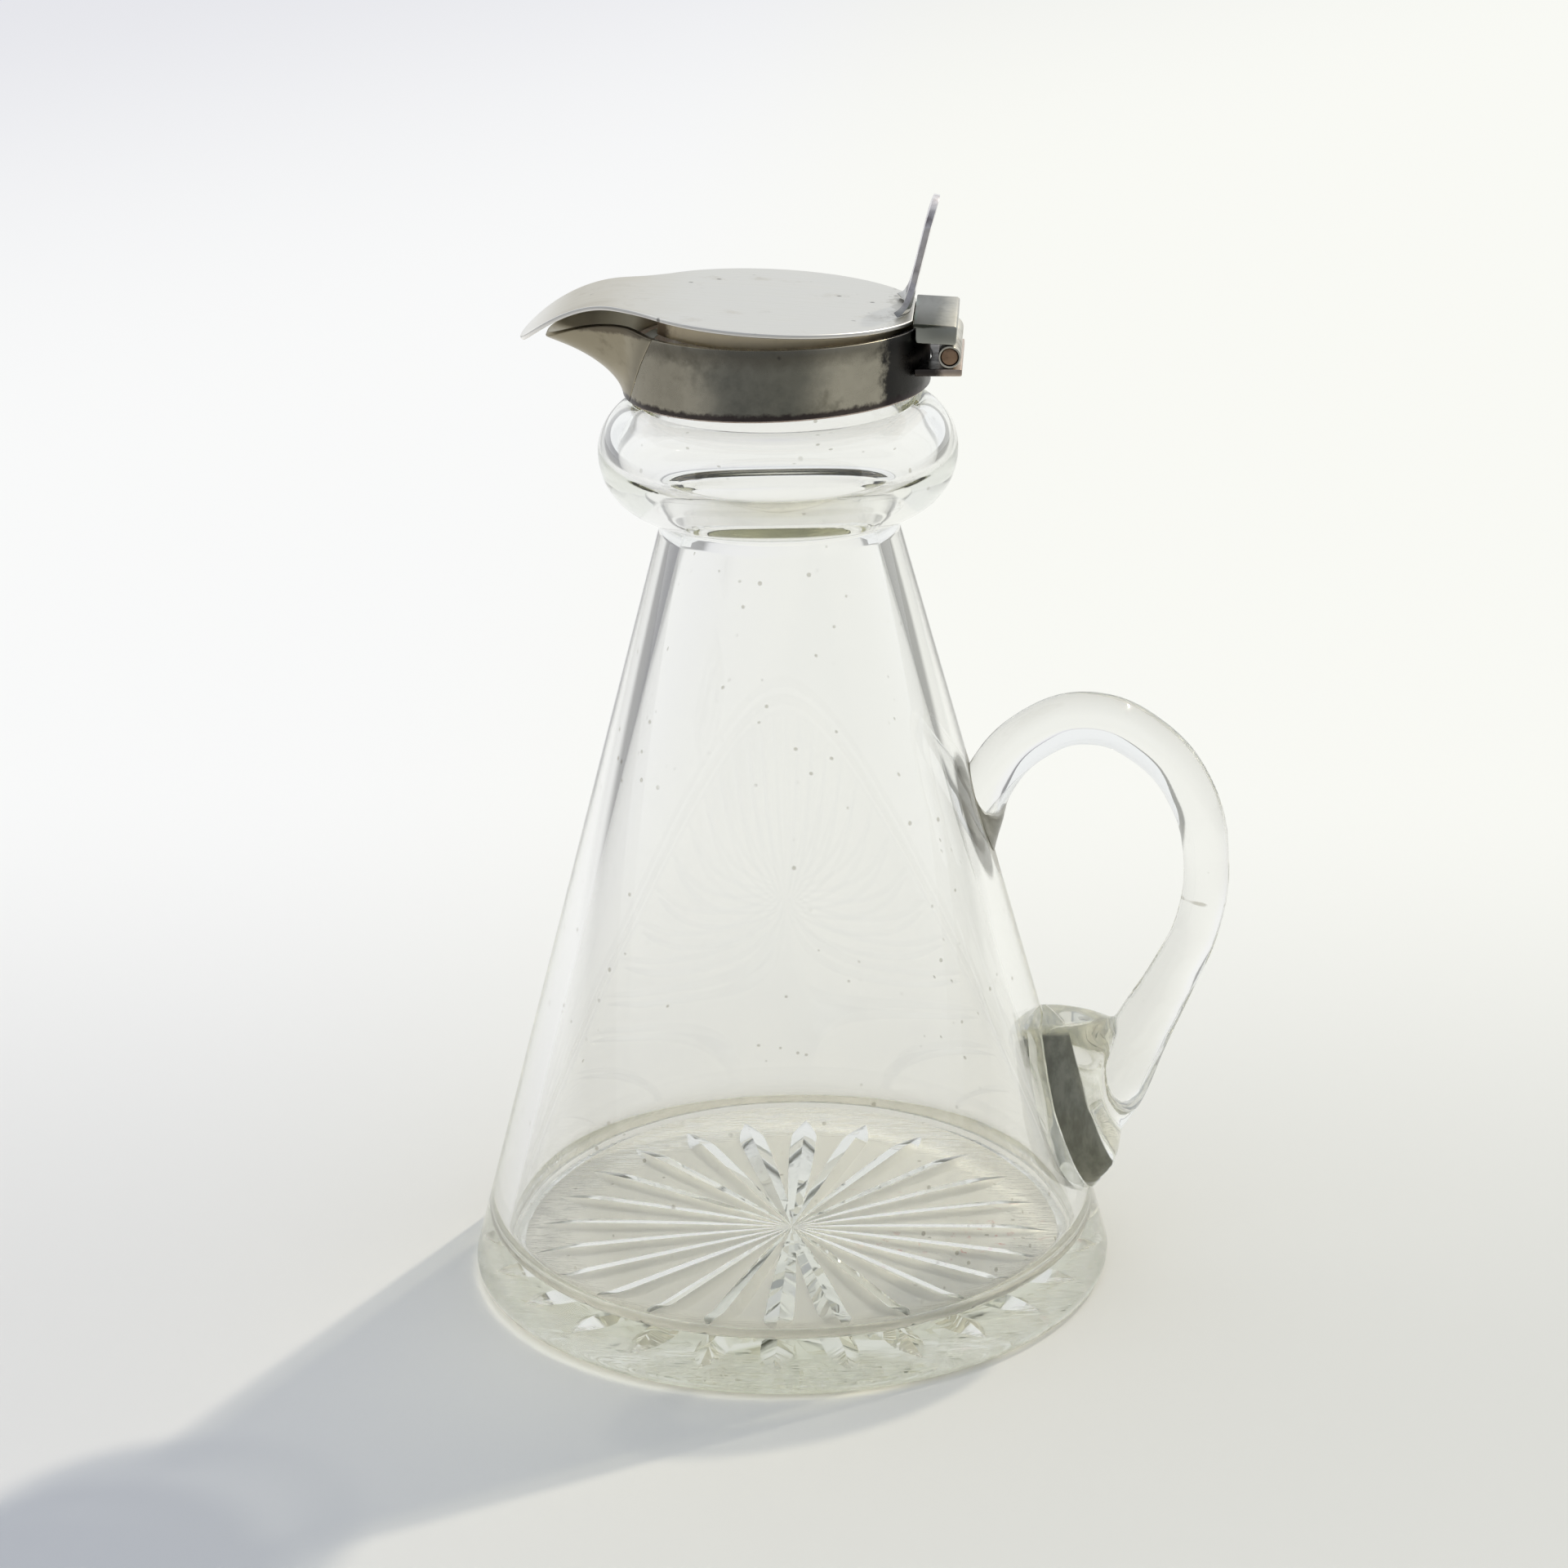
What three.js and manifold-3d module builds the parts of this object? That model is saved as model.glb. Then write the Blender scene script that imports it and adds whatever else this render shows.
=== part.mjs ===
// A small spirit decanter: a star-cut conical glass jug with an applied loop handle,
// and a silver collar, pouring lip and hinged lid. Millimetres, +Z up, the pouring lip
// towards -X and the handle towards +X.
import * as THREE from "three";
import { mergeVertices } from "three/addons/utils/BufferGeometryUtils.js";
import Module from "manifold-3d";

const wasm = await Module();
wasm.setup();

// Glass body
const footRadius = 37;
const footEdge = 1.2; // rounded edge of the foot
const pinchRadius = 13.3;
const pinchHeight = 88.2; // top of the cone
const pinchBand = 1.9; // short upright band between the cone and the bulge
const bulgeRadius = 19.75;
const bulgeLower = 6.9; // from the band up to the widest part of the bulge
const bulgeUpper = 5.5; // from there up to the neck
const neckRadius = 15.1;
const neckHeight = 6.4; // upright neck that the collar hides
const coneWall = 3;
const bulgeWall = 2.25;
const neckWall = 1.5;
const throatHeight = 89; // narrowest place of the cavity
const floorThickness = 4.4;
const floorCorner = 3; // rounding between the floor and the wall
const floorTurn = 60; // degrees that the wall turns before it meets the floor

// Star cut into the underside
const starRays = 24;
const starRadius = 30.2;
const starCutWidth = 3.3;
const starCutDepth = 0.95;
const starDeepest = 5 / 6; // where along each ray the cut is widest
const starMiddle = 0.25; // share of its depth that a cut has left in the middle of the star
const starRunOut = 0.02; // how far each cut leaves the surface at its tips

// Glass handle: a drawn rod, laid on the cone above and on a pressed pad below
const rodRadius = 2.95;
const rodWaist = 0.25; // how much thinner the rod is drawn at its outermost stretch
const rodFlare = 1.2; // how much thicker it is where it runs out on the pad
const handleReach = 47.7; // middle of the rod, from the axis of the body
const handleTopHeight = 65.9; // middle of the rod
const handleTopReach = 34.3;
const handleWaistHeight = 48.8; // height where the rod reaches furthest
const handleRootHeight = 58.6; // where the rod meets the cone
const padFoot = 8.2; // lowest point of the pad
const padLength = 21.8;
const padWidth = 15.6;
const padThickness = 5.4;
const glassJoint = 0.05; // left between the handle and the body

// Collar and the plaster that holds it on the neck
const collarRadius = 16.75;
const collarWall = 0.6;
const collarHeight = 7.55;
const collarSlant = 1.6; // degrees that the lower edge dips towards the lip
const rimAboveNeck = 2.7; // rim above the ground end of the glass neck
const plasterGap = 0.15;

// Pouring lip
const lipReach = 25.1;
const lipDrop = 1.8; // tip below the rim
const lipRise = 0.6; // shoulder above the rim
const lipShoulder = 16; // distance of the shoulder from the axis
const lipTopAngle = 42; // half of the collar's mouth at the rim, in degrees
const lipFootAngle = 22; // and at the lower edge
const lipSeamArm = 9.5; // how far the rim runs on from the seam before it turns
const lipKeelArm = 6.5; // and how blunt its tip is
const lipSeam = 0.1;

// Hinge
const hingeReach = 19; // pin axis from the axis of the body
const hingeBelowRim = 2.85;
const hingeLength = 14.8;
const knuckleRadius = 1.2;
const pinRadius = 0.9;
const pinPlay = 0.08;
const pinInset = 0.15; // ends of the pin inside the ends of the knuckles
const hingePlay = 0.1; // between knuckles, and between them and the leaves
const leafThickness = 0.8;
const leafOverhang = 1.3; // beyond the pin axis
const blockInset = 4.1; // inner edge of the lid's block, from the pin axis
const blockOverhang = 0.6;
const blockEdge = 0.2; // small bevels of the block
const blockChamfer = 0.5; // and the larger one at its inner foot
const lidKnuckleShare = 0.36; // of the hinge's length

// Lid
const lidThickness = 0.5;
const lidRadius = 16.3;
const lidSetback = 0.5; // centre of the lid's disc, from the axis towards the lip
const lidSeat = 0.05; // between the shut lid and the rim
const lidAjar = 3.6; // degrees that the lid stands open at rest
const beakReach = 27.5;
const beakRootArm = 11.8; // how long the disc's edge runs on into the beak
const beakTipArm = 10; // and how blunt its tip is
const beakBend = 17; // distance from the axis where the beak starts to bend down
const beakDrop = 5.15; // how far its tip comes down
const bezelGap = 1.35; // between the bezel and the collar
const bezelWall = 0.5;
const bezelHeight = 2;
const bezelMouth = 34; // half of its open side, in degrees
const thumbHeight = 12.4;
const thumbLean = 10.8; // degrees
const thumbHalfWidth = 3.2;
const thumbFootHalfWidth = 5.1;
const thumbHollow = 26; // radius that the plate is curved to
const thumbFootHollow = 9.5; // and at its foot
const thumbSplay = 3.6; // height of the splayed foot
const thumbThickness = 0.65;
const thumbInset = 0.3; // foot of its outer face, inside the back edge of the lid

// Fineness
const turnSides = 64;
const smallSides = 24;

// Places that follow from the sizes above
const bulgeHeight = pinchHeight + pinchBand + bulgeLower;
const neckBottom = bulgeHeight + bulgeUpper;
const neckTop = neckBottom + neckHeight;
const rimHeight = neckTop + rimAboveNeck;
const collarBottom = rimHeight - collarHeight;
const hingeHeight = rimHeight - hingeBelowRim;
const lidUnderside = rimHeight + lidSeat;
const lidTop = lidUnderside + lidThickness;
const degrees = Math.PI / 180;

const glass = new THREE.MeshStandardMaterial({
  color: 0xe9ecea,
  roughness: 0.03,
  metalness: 0,
  transparent: true,
  opacity: 0.45,
});
const silver = new THREE.MeshStandardMaterial({ color: 0xc9c8c4, roughness: 0.32, metalness: 1 });
const copper = new THREE.MeshStandardMaterial({ color: 0x9a6a4c, roughness: 0.45, metalness: 1 });
const plaster = new THREE.MeshStandardMaterial({ color: 0xd8d2c2, roughness: 0.95, metalness: 0 });

const body = new THREE.Group();
const lid = new THREE.Group();

function addPiece(name, geometry, material, parent = body) {
  const mesh = new THREE.Mesh(geometry, material);
  mesh.name = name;
  parent.add(mesh);
}

// Value between a and b at share t
const mix = (a, b, t) => a + (b - a) * t;
const smooth = (t) => t * t * (3 - 2 * t);
const coneRadius = (z) => mix(footRadius, pinchRadius, (z - footEdge) / (pinchHeight - footEdge));
const pointAt = (angle, radius, z) =>
  new THREE.Vector3(-radius * Math.cos(angle), radius * Math.sin(angle), z);

// Closed geometry from points and the triangles between them
function fromTriangles(points, triangles) {
  const geometry = new THREE.BufferGeometry();
  geometry.setAttribute(
    "position",
    new THREE.Float32BufferAttribute(points.flatMap((p) => [p.x, p.y, p.z]), 3),
  );
  geometry.setIndex(triangles.flat());
  return geometry;
}

// Skin over closed rings with as many points each; the first and last ring are capped
function loft(rings) {
  const count = rings[0].length;
  const points = rings.flat();
  const triangles = [];
  for (let ring = 0; ring + 1 < rings.length; ring++) {
    for (let i = 0; i < count; i++) {
      const a = ring * count + i;
      const b = ring * count + ((i + 1) % count);
      triangles.push([a, b, b + count], [a, b + count, a + count]);
    }
  }
  const cap = (ring, flip) => {
    const middle = points.length;
    const sum = ring.reduce((total, p) => total.add(p), new THREE.Vector3());
    points.push(sum.divideScalar(count));
    const start = flip ? 0 : (rings.length - 1) * count;
    for (let i = 0; i < count; i++) {
      const a = start + i;
      const b = start + ((i + 1) % count);
      triangles.push(flip ? [b, a, middle] : [a, b, middle]);
    }
  };
  cap(rings[0], true);
  cap(rings[rings.length - 1], false);
  return fromTriangles(points, triangles);
}

// Wall between two grids of points that lie over each other, closed all round its edge
function wall(outer, inner) {
  const rows = outer.length;
  const columns = outer[0].length;
  const points = [...outer.flat(), ...inner.flat()];
  const out = (row, column) => row * columns + column;
  const back = (row, column) => out(row, column) + rows * columns;
  const triangles = [];
  const quad = (a, b, c, d) => triangles.push([a, b, c], [a, c, d]);
  for (let row = 0; row + 1 < rows; row++) {
    for (let column = 0; column + 1 < columns; column++) {
      const next = column + 1;
      quad(out(row, column), out(row, next), out(row + 1, next), out(row + 1, column));
      quad(back(row + 1, column), back(row + 1, next), back(row, next), back(row, column));
    }
    quad(back(row, 0), out(row, 0), out(row + 1, 0), back(row + 1, 0));
    const last = columns - 1;
    quad(out(row, last), back(row, last), back(row + 1, last), out(row + 1, last));
  }
  for (let column = 0; column + 1 < columns; column++) {
    const next = column + 1;
    quad(back(0, column), back(0, next), out(0, next), out(0, column));
    const top = rows - 1;
    quad(out(top, column), out(top, next), back(top, next), back(top, column));
  }
  return fromTriangles(points, triangles);
}

// Grid of points from a function of two shares, rows by columns
function grid(rows, columns, place) {
  return Array.from({ length: rows + 1 }, (_, row) =>
    Array.from({ length: columns + 1 }, (_, column) => place(row / rows, column / columns)),
  );
}

// Body turned about the upright axis from a closed profile of [radius, height]
function turned(profile, sides = turnSides) {
  const points = profile.map(([radius, height]) => new THREE.Vector2(radius, height));
  return new THREE.LatheGeometry(points, sides).rotateX(Math.PI / 2);
}

// Quarter of an ellipse between two heights, as [radius, height]
function quarter(midRadius, midHeight, radiusSpan, heightSpan, from, to, steps) {
  return Array.from({ length: steps + 1 }, (_, i) => {
    const angle = mix(from, to, i / steps);
    return [midRadius + radiusSpan * Math.cos(angle), midHeight + heightSpan * Math.sin(angle)];
  });
}

function solidOf(geometry) {
  const bare = geometry.index ? geometry.clone() : geometry;
  bare.deleteAttribute("normal");
  bare.deleteAttribute("uv");
  const merged = mergeVertices(bare, 1e-4);
  return new wasm.Manifold(
    new wasm.Mesh({
      numProp: 3,
      vertProperties: new Float32Array(merged.attributes.position.array),
      triVerts: new Uint32Array(merged.index.array),
    }),
  );
}

function geometryOf(solid) {
  const mesh = solid.getMesh();
  const geometry = new THREE.BufferGeometry();
  geometry.setAttribute("position", new THREE.BufferAttribute(mesh.vertProperties, 3));
  geometry.setIndex(new THREE.BufferAttribute(mesh.triVerts, 1));
  return geometry;
}

// Glass body: one blown and ground piece, with its cavity open at the neck
const half = Math.PI / 2;
const cornerHeight = floorThickness + floorCorner * Math.sin(floorTurn * degrees);
const cornerRadius = coneRadius(cornerHeight) - coneWall - floorCorner;
const innerThroat = pinchRadius - coneWall;
const innerBulge = bulgeRadius - bulgeWall;
const innerNeck = neckRadius - neckWall;
const outerProfile = [
  ...quarter(footRadius - footEdge, footEdge, footEdge, footEdge, -half, 0, 4),
  [pinchRadius, pinchHeight],
  ...quarter(pinchRadius, bulgeHeight, bulgeRadius - pinchRadius, bulgeLower, -half, 0, 7),
  ...quarter(neckRadius, bulgeHeight, bulgeRadius - neckRadius, bulgeUpper, 0, half, 6).slice(1),
  [neckRadius, neckTop],
];
const throatSteps = 10;
const throatCurve = Array.from({ length: throatSteps }, (_, i) => {
  const share = (i + 1) / throatSteps;
  const radius = mix(innerThroat, innerBulge, (1 + Math.cos(Math.PI * share)) / 2);
  return [radius, mix(bulgeHeight, throatHeight, share)];
});
const innerProfile = [
  [innerNeck, neckTop],
  ...quarter(innerNeck, bulgeHeight, innerBulge - innerNeck, bulgeUpper - neckWall, half, 0, 6),
  ...throatCurve,
  ...quarter(cornerRadius, cornerHeight, floorCorner, floorCorner, 0, -floorTurn * degrees, 6),
];
const bodyBlank = solidOf(turned([[0, 0], ...outerProfile, ...innerProfile, [0, floorThickness]]));

// Depth of a ray's cut at a share of its length: a long leaf, widest near its outer end
function leafShare(along) {
  if (along < starDeepest) {
    return mix(starMiddle, 1, Math.sin((Math.PI / 2) * (along / starDeepest)));
  }
  return 1 - ((along - starDeepest) / (1 - starDeepest)) ** 1.5;
}

// Each cut of the star runs right across the foot and makes two opposite rays
function starCut(turn) {
  const below = 0.3;
  const slope = starCutWidth / 2 / starCutDepth;
  const steps = 24;
  const rings = Array.from({ length: steps + 1 }, (_, i) => {
    const along = mix(-1, 1, i / steps);
    const depth = starCutDepth * leafShare(Math.abs(along)) - starRunOut;
    const spread = slope * (depth + below);
    return [
      new THREE.Vector3(along * starRadius, -spread, -below),
      new THREE.Vector3(along * starRadius, spread, -below),
      new THREE.Vector3(along * starRadius, 0, depth),
    ];
  });
  return solidOf(loft(rings).rotateZ(turn));
}

let cuts = starCut(0);
for (let i = 1; i < starRays / 2; i++) {
  cuts = cuts.add(starCut((2 * Math.PI * i) / starRays));
}
addPiece("glass_body", geometryOf(bodyBlank.subtract(cuts)), glass);

// Glass handle: the rod follows one curve in the XZ plane and is pressed onto the cone
const rodPath = new THREE.CatmullRomCurve3(
  [
    [coneRadius(handleRootHeight - 9) - 2.4, handleRootHeight - 9],
    [coneRadius(handleRootHeight - 4.5) - 0.6, handleRootHeight - 4.5],
    [coneRadius(handleRootHeight) + 1.8, handleRootHeight],
    [mix(coneRadius(handleRootHeight), handleTopReach, 0.55), handleTopHeight - 1.6],
    [handleTopReach, handleTopHeight],
    [mix(handleTopReach, handleReach, 0.5), handleTopHeight - 2.6],
    [handleReach - 1.9, mix(handleTopHeight, handleWaistHeight, 0.52)],
    [handleReach, handleWaistHeight],
    [handleReach - 1.1, handleWaistHeight - 7.5],
    [handleReach - 4.3, handleWaistHeight - 14.8],
    [handleReach - 7.7, handleWaistHeight - 21.8],
    [coneRadius(padFoot + 12) + 5.2, padFoot + 12],
    [coneRadius(padFoot + 6.5) + 1.8, padFoot + 6.5],
    [coneRadius(padFoot + 2.5) - 1.4, padFoot + 2.5],
  ].map(([x, z]) => new THREE.Vector3(x, 0, z)),
);
const rodSteps = 44;
const rodRings = Array.from({ length: rodSteps + 1 }, (_, i) => {
  const share = i / rodSteps;
  const middle = rodPath.getPointAt(share);
  const along = rodPath.getTangentAt(share);
  const across = new THREE.Vector3(0, 1, 0);
  const out = new THREE.Vector3().crossVectors(across, along);
  const waist = rodWaist * Math.exp(-(((share - 0.6) / 0.18) ** 2));
  const flare = rodFlare * smooth(Math.max(0, (share - 0.78) / 0.22));
  const radius = rodRadius - waist + flare;
  return Array.from({ length: 16 }, (_, k) => {
    const angle = (2 * Math.PI * k) / 16;
    return middle
      .clone()
      .addScaledVector(across, radius * Math.cos(angle))
      .addScaledVector(out, -radius * Math.sin(angle));
  });
});

// The origin is under the middle of the decanter's length, so the body stands back from it
const rodOutermost = Math.max(...rodRings.flat().map((point) => point.x));
body.position.x = (footRadius - rodOutermost) / 2;

// The pad is a shield-shaped slab with steep sides and a crest that runs up into the rod.
// Each station is its share of the length, width, side height and crest height.
const padStations = [
  [0, 0.06, 0.02, 0.04],
  [0.05, 0.3, 0.19, 0.24],
  [0.13, 0.56, 0.48, 0.55],
  [0.2, 0.7, 0.72, 0.8],
  [0.27, 0.82, 0.92, 1],
  [0.43, 0.95, 0.84, 0.98],
  [0.6, 1, 0.66, 0.94],
  [0.76, 0.86, 0.54, 1.15],
  [0.88, 0.66, 0.44, 1.45],
  [0.955, 0.5, 0.32, 1.5],
  [0.985, 0.4, 0.2, 1.1],
  [1, 0.3, 0.06, 0.3],
];
const padRings = padStations.map(([share, width, sideHeight, crest]) => {
  const z = padFoot + share * padLength;
  const radius = coneRadius(z);
  const section = [
    [-1, -0.2],
    [-0.97, 0.7 * sideHeight],
    [-0.86, sideHeight],
    [-0.35, mix(sideHeight, crest, 0.6)],
    [0, crest],
    [0.35, mix(sideHeight, crest, 0.6)],
    [0.86, sideHeight],
    [0.97, 0.7 * sideHeight],
    [1, -0.2],
  ];
  return section.map(([side, height]) => {
    const angle = (side * width * padWidth) / 2 / radius;
    const reach = radius + height * padThickness;
    return new THREE.Vector3(reach * Math.cos(angle), reach * Math.sin(angle), z);
  });
});
const coneBlank = solidOf(
  turned([
    [0, -1],
    [coneRadius(-1) + glassJoint, -1],
    [pinchRadius + glassJoint, pinchHeight],
    [0, pinchHeight],
  ]),
);
const handleBlank = solidOf(loft(rodRings)).add(solidOf(loft(padRings)));
addPiece("glass_handle", geometryOf(handleBlank.subtract(coneBlank)), glass);

// Lower edge of the collar and lip, which sit a little askew on the neck
const lowerEdge = (x) => collarBottom + x * Math.tan(collarSlant * degrees);
const seamAngle = (share) => mix(lipFootAngle, lipTopAngle, share) * degrees;

// Plaster ring between the neck and the collar, trimmed flush with the collar's lower edge
const collarInner = collarRadius - collarWall;
const plasterRing = turned([
  [neckRadius + plasterGap, collarBottom],
  [collarInner - plasterGap, collarBottom],
  [collarInner - plasterGap, neckTop],
  [neckRadius + plasterGap, neckTop],
  [neckRadius + plasterGap, collarBottom],
]);
const plasterPoints = plasterRing.getAttribute("position");
for (let i = 0; i < plasterPoints.count; i++) {
  if (plasterPoints.getZ(i) < neckTop - plasterGap) {
    plasterPoints.setZ(i, lowerEdge(plasterPoints.getX(i)));
  }
}
addPiece("neck_plaster", plasterRing, plaster);

// Collar band: a strip bent round the neck, its two ends at the seams of the lip
function bandPoint(radius) {
  return (share, turn) => {
    const seam = seamAngle(share) + lipSeam / collarRadius;
    const angle = mix(seam, 2 * Math.PI - seam, turn);
    const foot = lowerEdge(-radius * Math.cos(angle));
    return pointAt(-angle, radius, mix(foot, rimHeight, share));
  };
}
addPiece(
  "collar_band",
  wall(grid(6, 54, bandPoint(collarRadius)), grid(6, 54, bandPoint(collarInner))),
  silver,
);

// Height of the lip's rim at a distance from the axis: up to the shoulder, then down
function lipRimHeight(distance) {
  const start = collarRadius * Math.cos(lipTopAngle * degrees);
  if (distance < lipShoulder) {
    return rimHeight + lipRise * smooth(Math.max(0, (distance - start) / (lipShoulder - start)));
  }
  const past = (distance - lipShoulder) / (lipReach - lipShoulder);
  return rimHeight + lipRise - (lipRise + lipDrop) * past ** 2;
}

// Lip: at each height its plan runs from one seam round its keel to the other seam
function lipPoint(inset) {
  return (up, turn) => {
    const side = 2 * turn - 1;
    const radius = collarRadius - inset;
    const seam = seamAngle(up);
    const flare = up ** 1.5 * (1 + 0.75 * up * (1 - up));
    const keel = radius + (lipReach - collarRadius) * flare;
    const circleArm = ((radius * 4) / 3) * Math.tan(seam / 4);
    const seamArm = mix(circleArm, lipSeamArm, flare);
    const keelArm = mix(circleArm, lipKeelArm - inset, flare);
    const curve = new THREE.CubicBezierCurve(
      new THREE.Vector2(radius * Math.cos(seam), radius * Math.sin(seam)),
      new THREE.Vector2(
        radius * Math.cos(seam) + seamArm * Math.sin(seam),
        radius * Math.sin(seam) - seamArm * Math.cos(seam),
      ),
      new THREE.Vector2(keel, keelArm),
      new THREE.Vector2(keel, 0),
    );
    const plan = curve.getPoint(1 - Math.abs(side));
    const top = lipRimHeight(plan.x + inset);
    const z = mix(lowerEdge(-plan.x), top, up);
    return new THREE.Vector3(-plan.x, -Math.sign(side) * plan.y, z);
  };
}
addPiece(
  "pouring_lip",
  wall(grid(10, 24, lipPoint(0)), grid(10, 24, lipPoint(collarWall))),
  silver,
);

// Hinge leaf: a bracket soldered to the collar under the knuckles
const leafTop = hingeHeight - knuckleRadius - hingePlay;
const halfHinge = hingeLength / 2;
const leafShape = new THREE.Shape();
const leafInner = collarRadius + plasterGap;
const leafAngle = Math.asin(halfHinge / leafInner);
leafShape.absarc(0, 0, leafInner, leafAngle, -leafAngle, true);
leafShape.lineTo(hingeReach + leafOverhang, -halfHinge);
leafShape.lineTo(hingeReach + leafOverhang, halfHinge);
leafShape.closePath();
addPiece(
  "collar_hinge_leaf",
  new THREE.ExtrudeGeometry(leafShape, {
    depth: leafThickness,
    bevelEnabled: false,
    curveSegments: 16,
  }).translate(0, 0, leafTop - leafThickness),
  silver,
);

// Knuckles: three lengths of tube on one pin, the outer two on the collar's leaf
function tube(outer, inner, length) {
  const profile = [
    [inner, -length / 2],
    [outer, -length / 2],
    [outer, length / 2],
    [inner, length / 2],
    [inner, -length / 2],
  ].map(([radius, y]) => new THREE.Vector2(radius, y));
  return new THREE.LatheGeometry(profile, smallSides);
}
const lidKnuckleLength = hingeLength * lidKnuckleShare;
const endKnuckleLength = (hingeLength - lidKnuckleLength) / 2 - hingePlay;
const endKnuckleMiddle = halfHinge - endKnuckleLength / 2;
for (const [name, side] of [["near", -1], ["far", 1]]) {
  addPiece(
    "collar_knuckle_" + name,
    tube(knuckleRadius, pinRadius + pinPlay, endKnuckleLength).translate(
      hingeReach,
      side * endKnuckleMiddle,
      hingeHeight,
    ),
    silver,
  );
}
addPiece(
  "hinge_pin",
  new THREE.CylinderGeometry(pinRadius, pinRadius, hingeLength - 2 * pinInset, smallSides).translate(
    hingeReach,
    0,
    hingeHeight,
  ),
  copper,
);

// Everything on the lid is drawn with the lid shut, about the pin axis
const lidPivot = new THREE.Group();
lidPivot.position.set(hingeReach, 0, hingeHeight);
lidPivot.rotation.y = lidAjar * degrees;
lidPivot.add(lid);
lid.position.set(-hingeReach, 0, -hingeHeight);
body.add(lidPivot);

const lidPiece = (name, geometry, material) => addPiece(name, geometry, material, lid);

lidPiece(
  "lid_knuckle",
  tube(knuckleRadius, pinRadius + pinPlay, lidKnuckleLength).translate(hingeReach, 0, hingeHeight),
  silver,
);

// Block: a bar soldered to the back of the lid, hollowed underneath to clear the collar
const blockBottom = hingeHeight + knuckleRadius + hingePlay;
const blockWidth = blockInset + blockOverhang;
const blockDepth = lidTop - blockBottom;
const blockShape = new THREE.Shape([
  new THREE.Vector2(0, blockDepth),
  new THREE.Vector2(0, 2 * blockChamfer),
  new THREE.Vector2(blockChamfer, 0),
  new THREE.Vector2(blockWidth - blockEdge, 0),
  new THREE.Vector2(blockWidth, blockEdge),
  new THREE.Vector2(blockWidth, blockDepth - blockEdge),
  new THREE.Vector2(blockWidth - blockEdge, blockDepth),
]);
const blockBar = new THREE.ExtrudeGeometry(blockShape, { depth: hingeLength, bevelEnabled: false })
  .rotateX(Math.PI / 2)
  .translate(hingeReach - blockInset, halfHinge, blockBottom);
const collarRoom = turned([
  [0, hingeHeight],
  [collarRadius + plasterGap, hingeHeight],
  [collarRadius + plasterGap, lidUnderside],
  [0, lidUnderside],
]);
lidPiece("lid_hinge_block", geometryOf(solidOf(blockBar).subtract(solidOf(collarRoom))), silver);

// Lid plate: a flat disc drawn out into a beak that bends down over the lip
const lidBack = hingeReach - blockInset - hingePlay;
const beakRoot = 44 * degrees; // where the edge leaves the disc, from the lip's side
const rootEdge = new THREE.Vector2(
  -lidSetback - lidRadius * Math.cos(beakRoot),
  lidRadius * Math.sin(beakRoot),
);
const rootRun = new THREE.Vector2(-Math.sin(beakRoot), -Math.cos(beakRoot));
const beakPlan = new THREE.CubicBezierCurve(
  rootEdge,
  rootEdge.clone().addScaledVector(rootRun, beakRootArm),
  new THREE.Vector2(-beakReach, beakTipArm),
  new THREE.Vector2(-beakReach, 0),
);
const backAngle = Math.acos((lidBack + lidSetback) / lidRadius);
const halfOutline = [];
for (let i = 0; i <= 22; i++) {
  const angle = mix(backAngle, Math.PI - beakRoot, i / 22);
  halfOutline.push([-lidSetback + lidRadius * Math.cos(angle), lidRadius * Math.sin(angle)]);
}
for (const p of beakPlan.getPoints(16).slice(1)) halfOutline.push([p.x, p.y]);
const outline = [...halfOutline, ...halfOutline.slice(0, -1).reverse().map(([x, y]) => [x, -y])];
const bend = (x) => beakDrop * Math.max(0, (-x - beakBend) / (beakReach - beakBend)) ** 2;
const plateRing = (scale, height) =>
  outline.map(([x, y]) => {
    const from = -lidSetback;
    const px = from + (x - from) * scale;
    return new THREE.Vector3(px, y * scale, height - bend(px));
  });
const plateScales = [0.5, 0.68, 0.76, 0.84, 0.92, 1];
lidPiece(
  "lid_plate",
  loft([
    ...plateScales.map((scale) => plateRing(scale, lidUnderside)),
    ...plateScales.toReversed().map((scale) => plateRing(scale, lidTop)),
  ]),
  silver,
);

// Bezel: a strip under the lid that drops into the collar, open towards the lip
const bezelRadius = collarInner - bezelGap;
function bezelPoint(radius) {
  return (up, turn) => {
    const angle = mix(bezelMouth, 360 - bezelMouth, turn) * degrees;
    const foot = lidUnderside - lidSeat - bezelHeight;
    return pointAt(-angle, radius, mix(foot, lidUnderside - lidSeat, up));
  };
}
lidPiece(
  "lid_bezel",
  wall(grid(1, 48, bezelPoint(bezelRadius)), grid(1, 48, bezelPoint(bezelRadius - bezelWall))),
  silver,
);

// Thumbpiece: a thin upright plate, hollowed towards the lip and splayed at its foot
function thumbPoint(inset) {
  return (up, turn) => {
    const height = up * thumbHeight;
    const roundFrom = thumbHeight - thumbHalfWidth;
    const splay = Math.max(0, 1 - height / thumbSplay) ** 2;
    const past = Math.max(0, (height - roundFrom) / thumbHalfWidth);
    const halfWidth =
      mix(thumbHalfWidth, thumbFootHalfWidth, splay) * Math.sqrt(1 - 0.98 * past ** 2);
    const across = (2 * turn - 1) * halfWidth;
    const hollow = across ** 2 / (2 * mix(thumbHollow, thumbFootHollow, splay));
    const lean = Math.tan(thumbLean * degrees) * height;
    return new THREE.Vector3(
      lidBack - thumbInset - inset + lean - hollow,
      across,
      lidTop + lidSeat + height,
    );
  };
}
lidPiece(
  "thumbpiece",
  wall(grid(18, 8, thumbPoint(0)), grid(18, 8, thumbPoint(thumbThickness))),
  silver,
);

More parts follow.
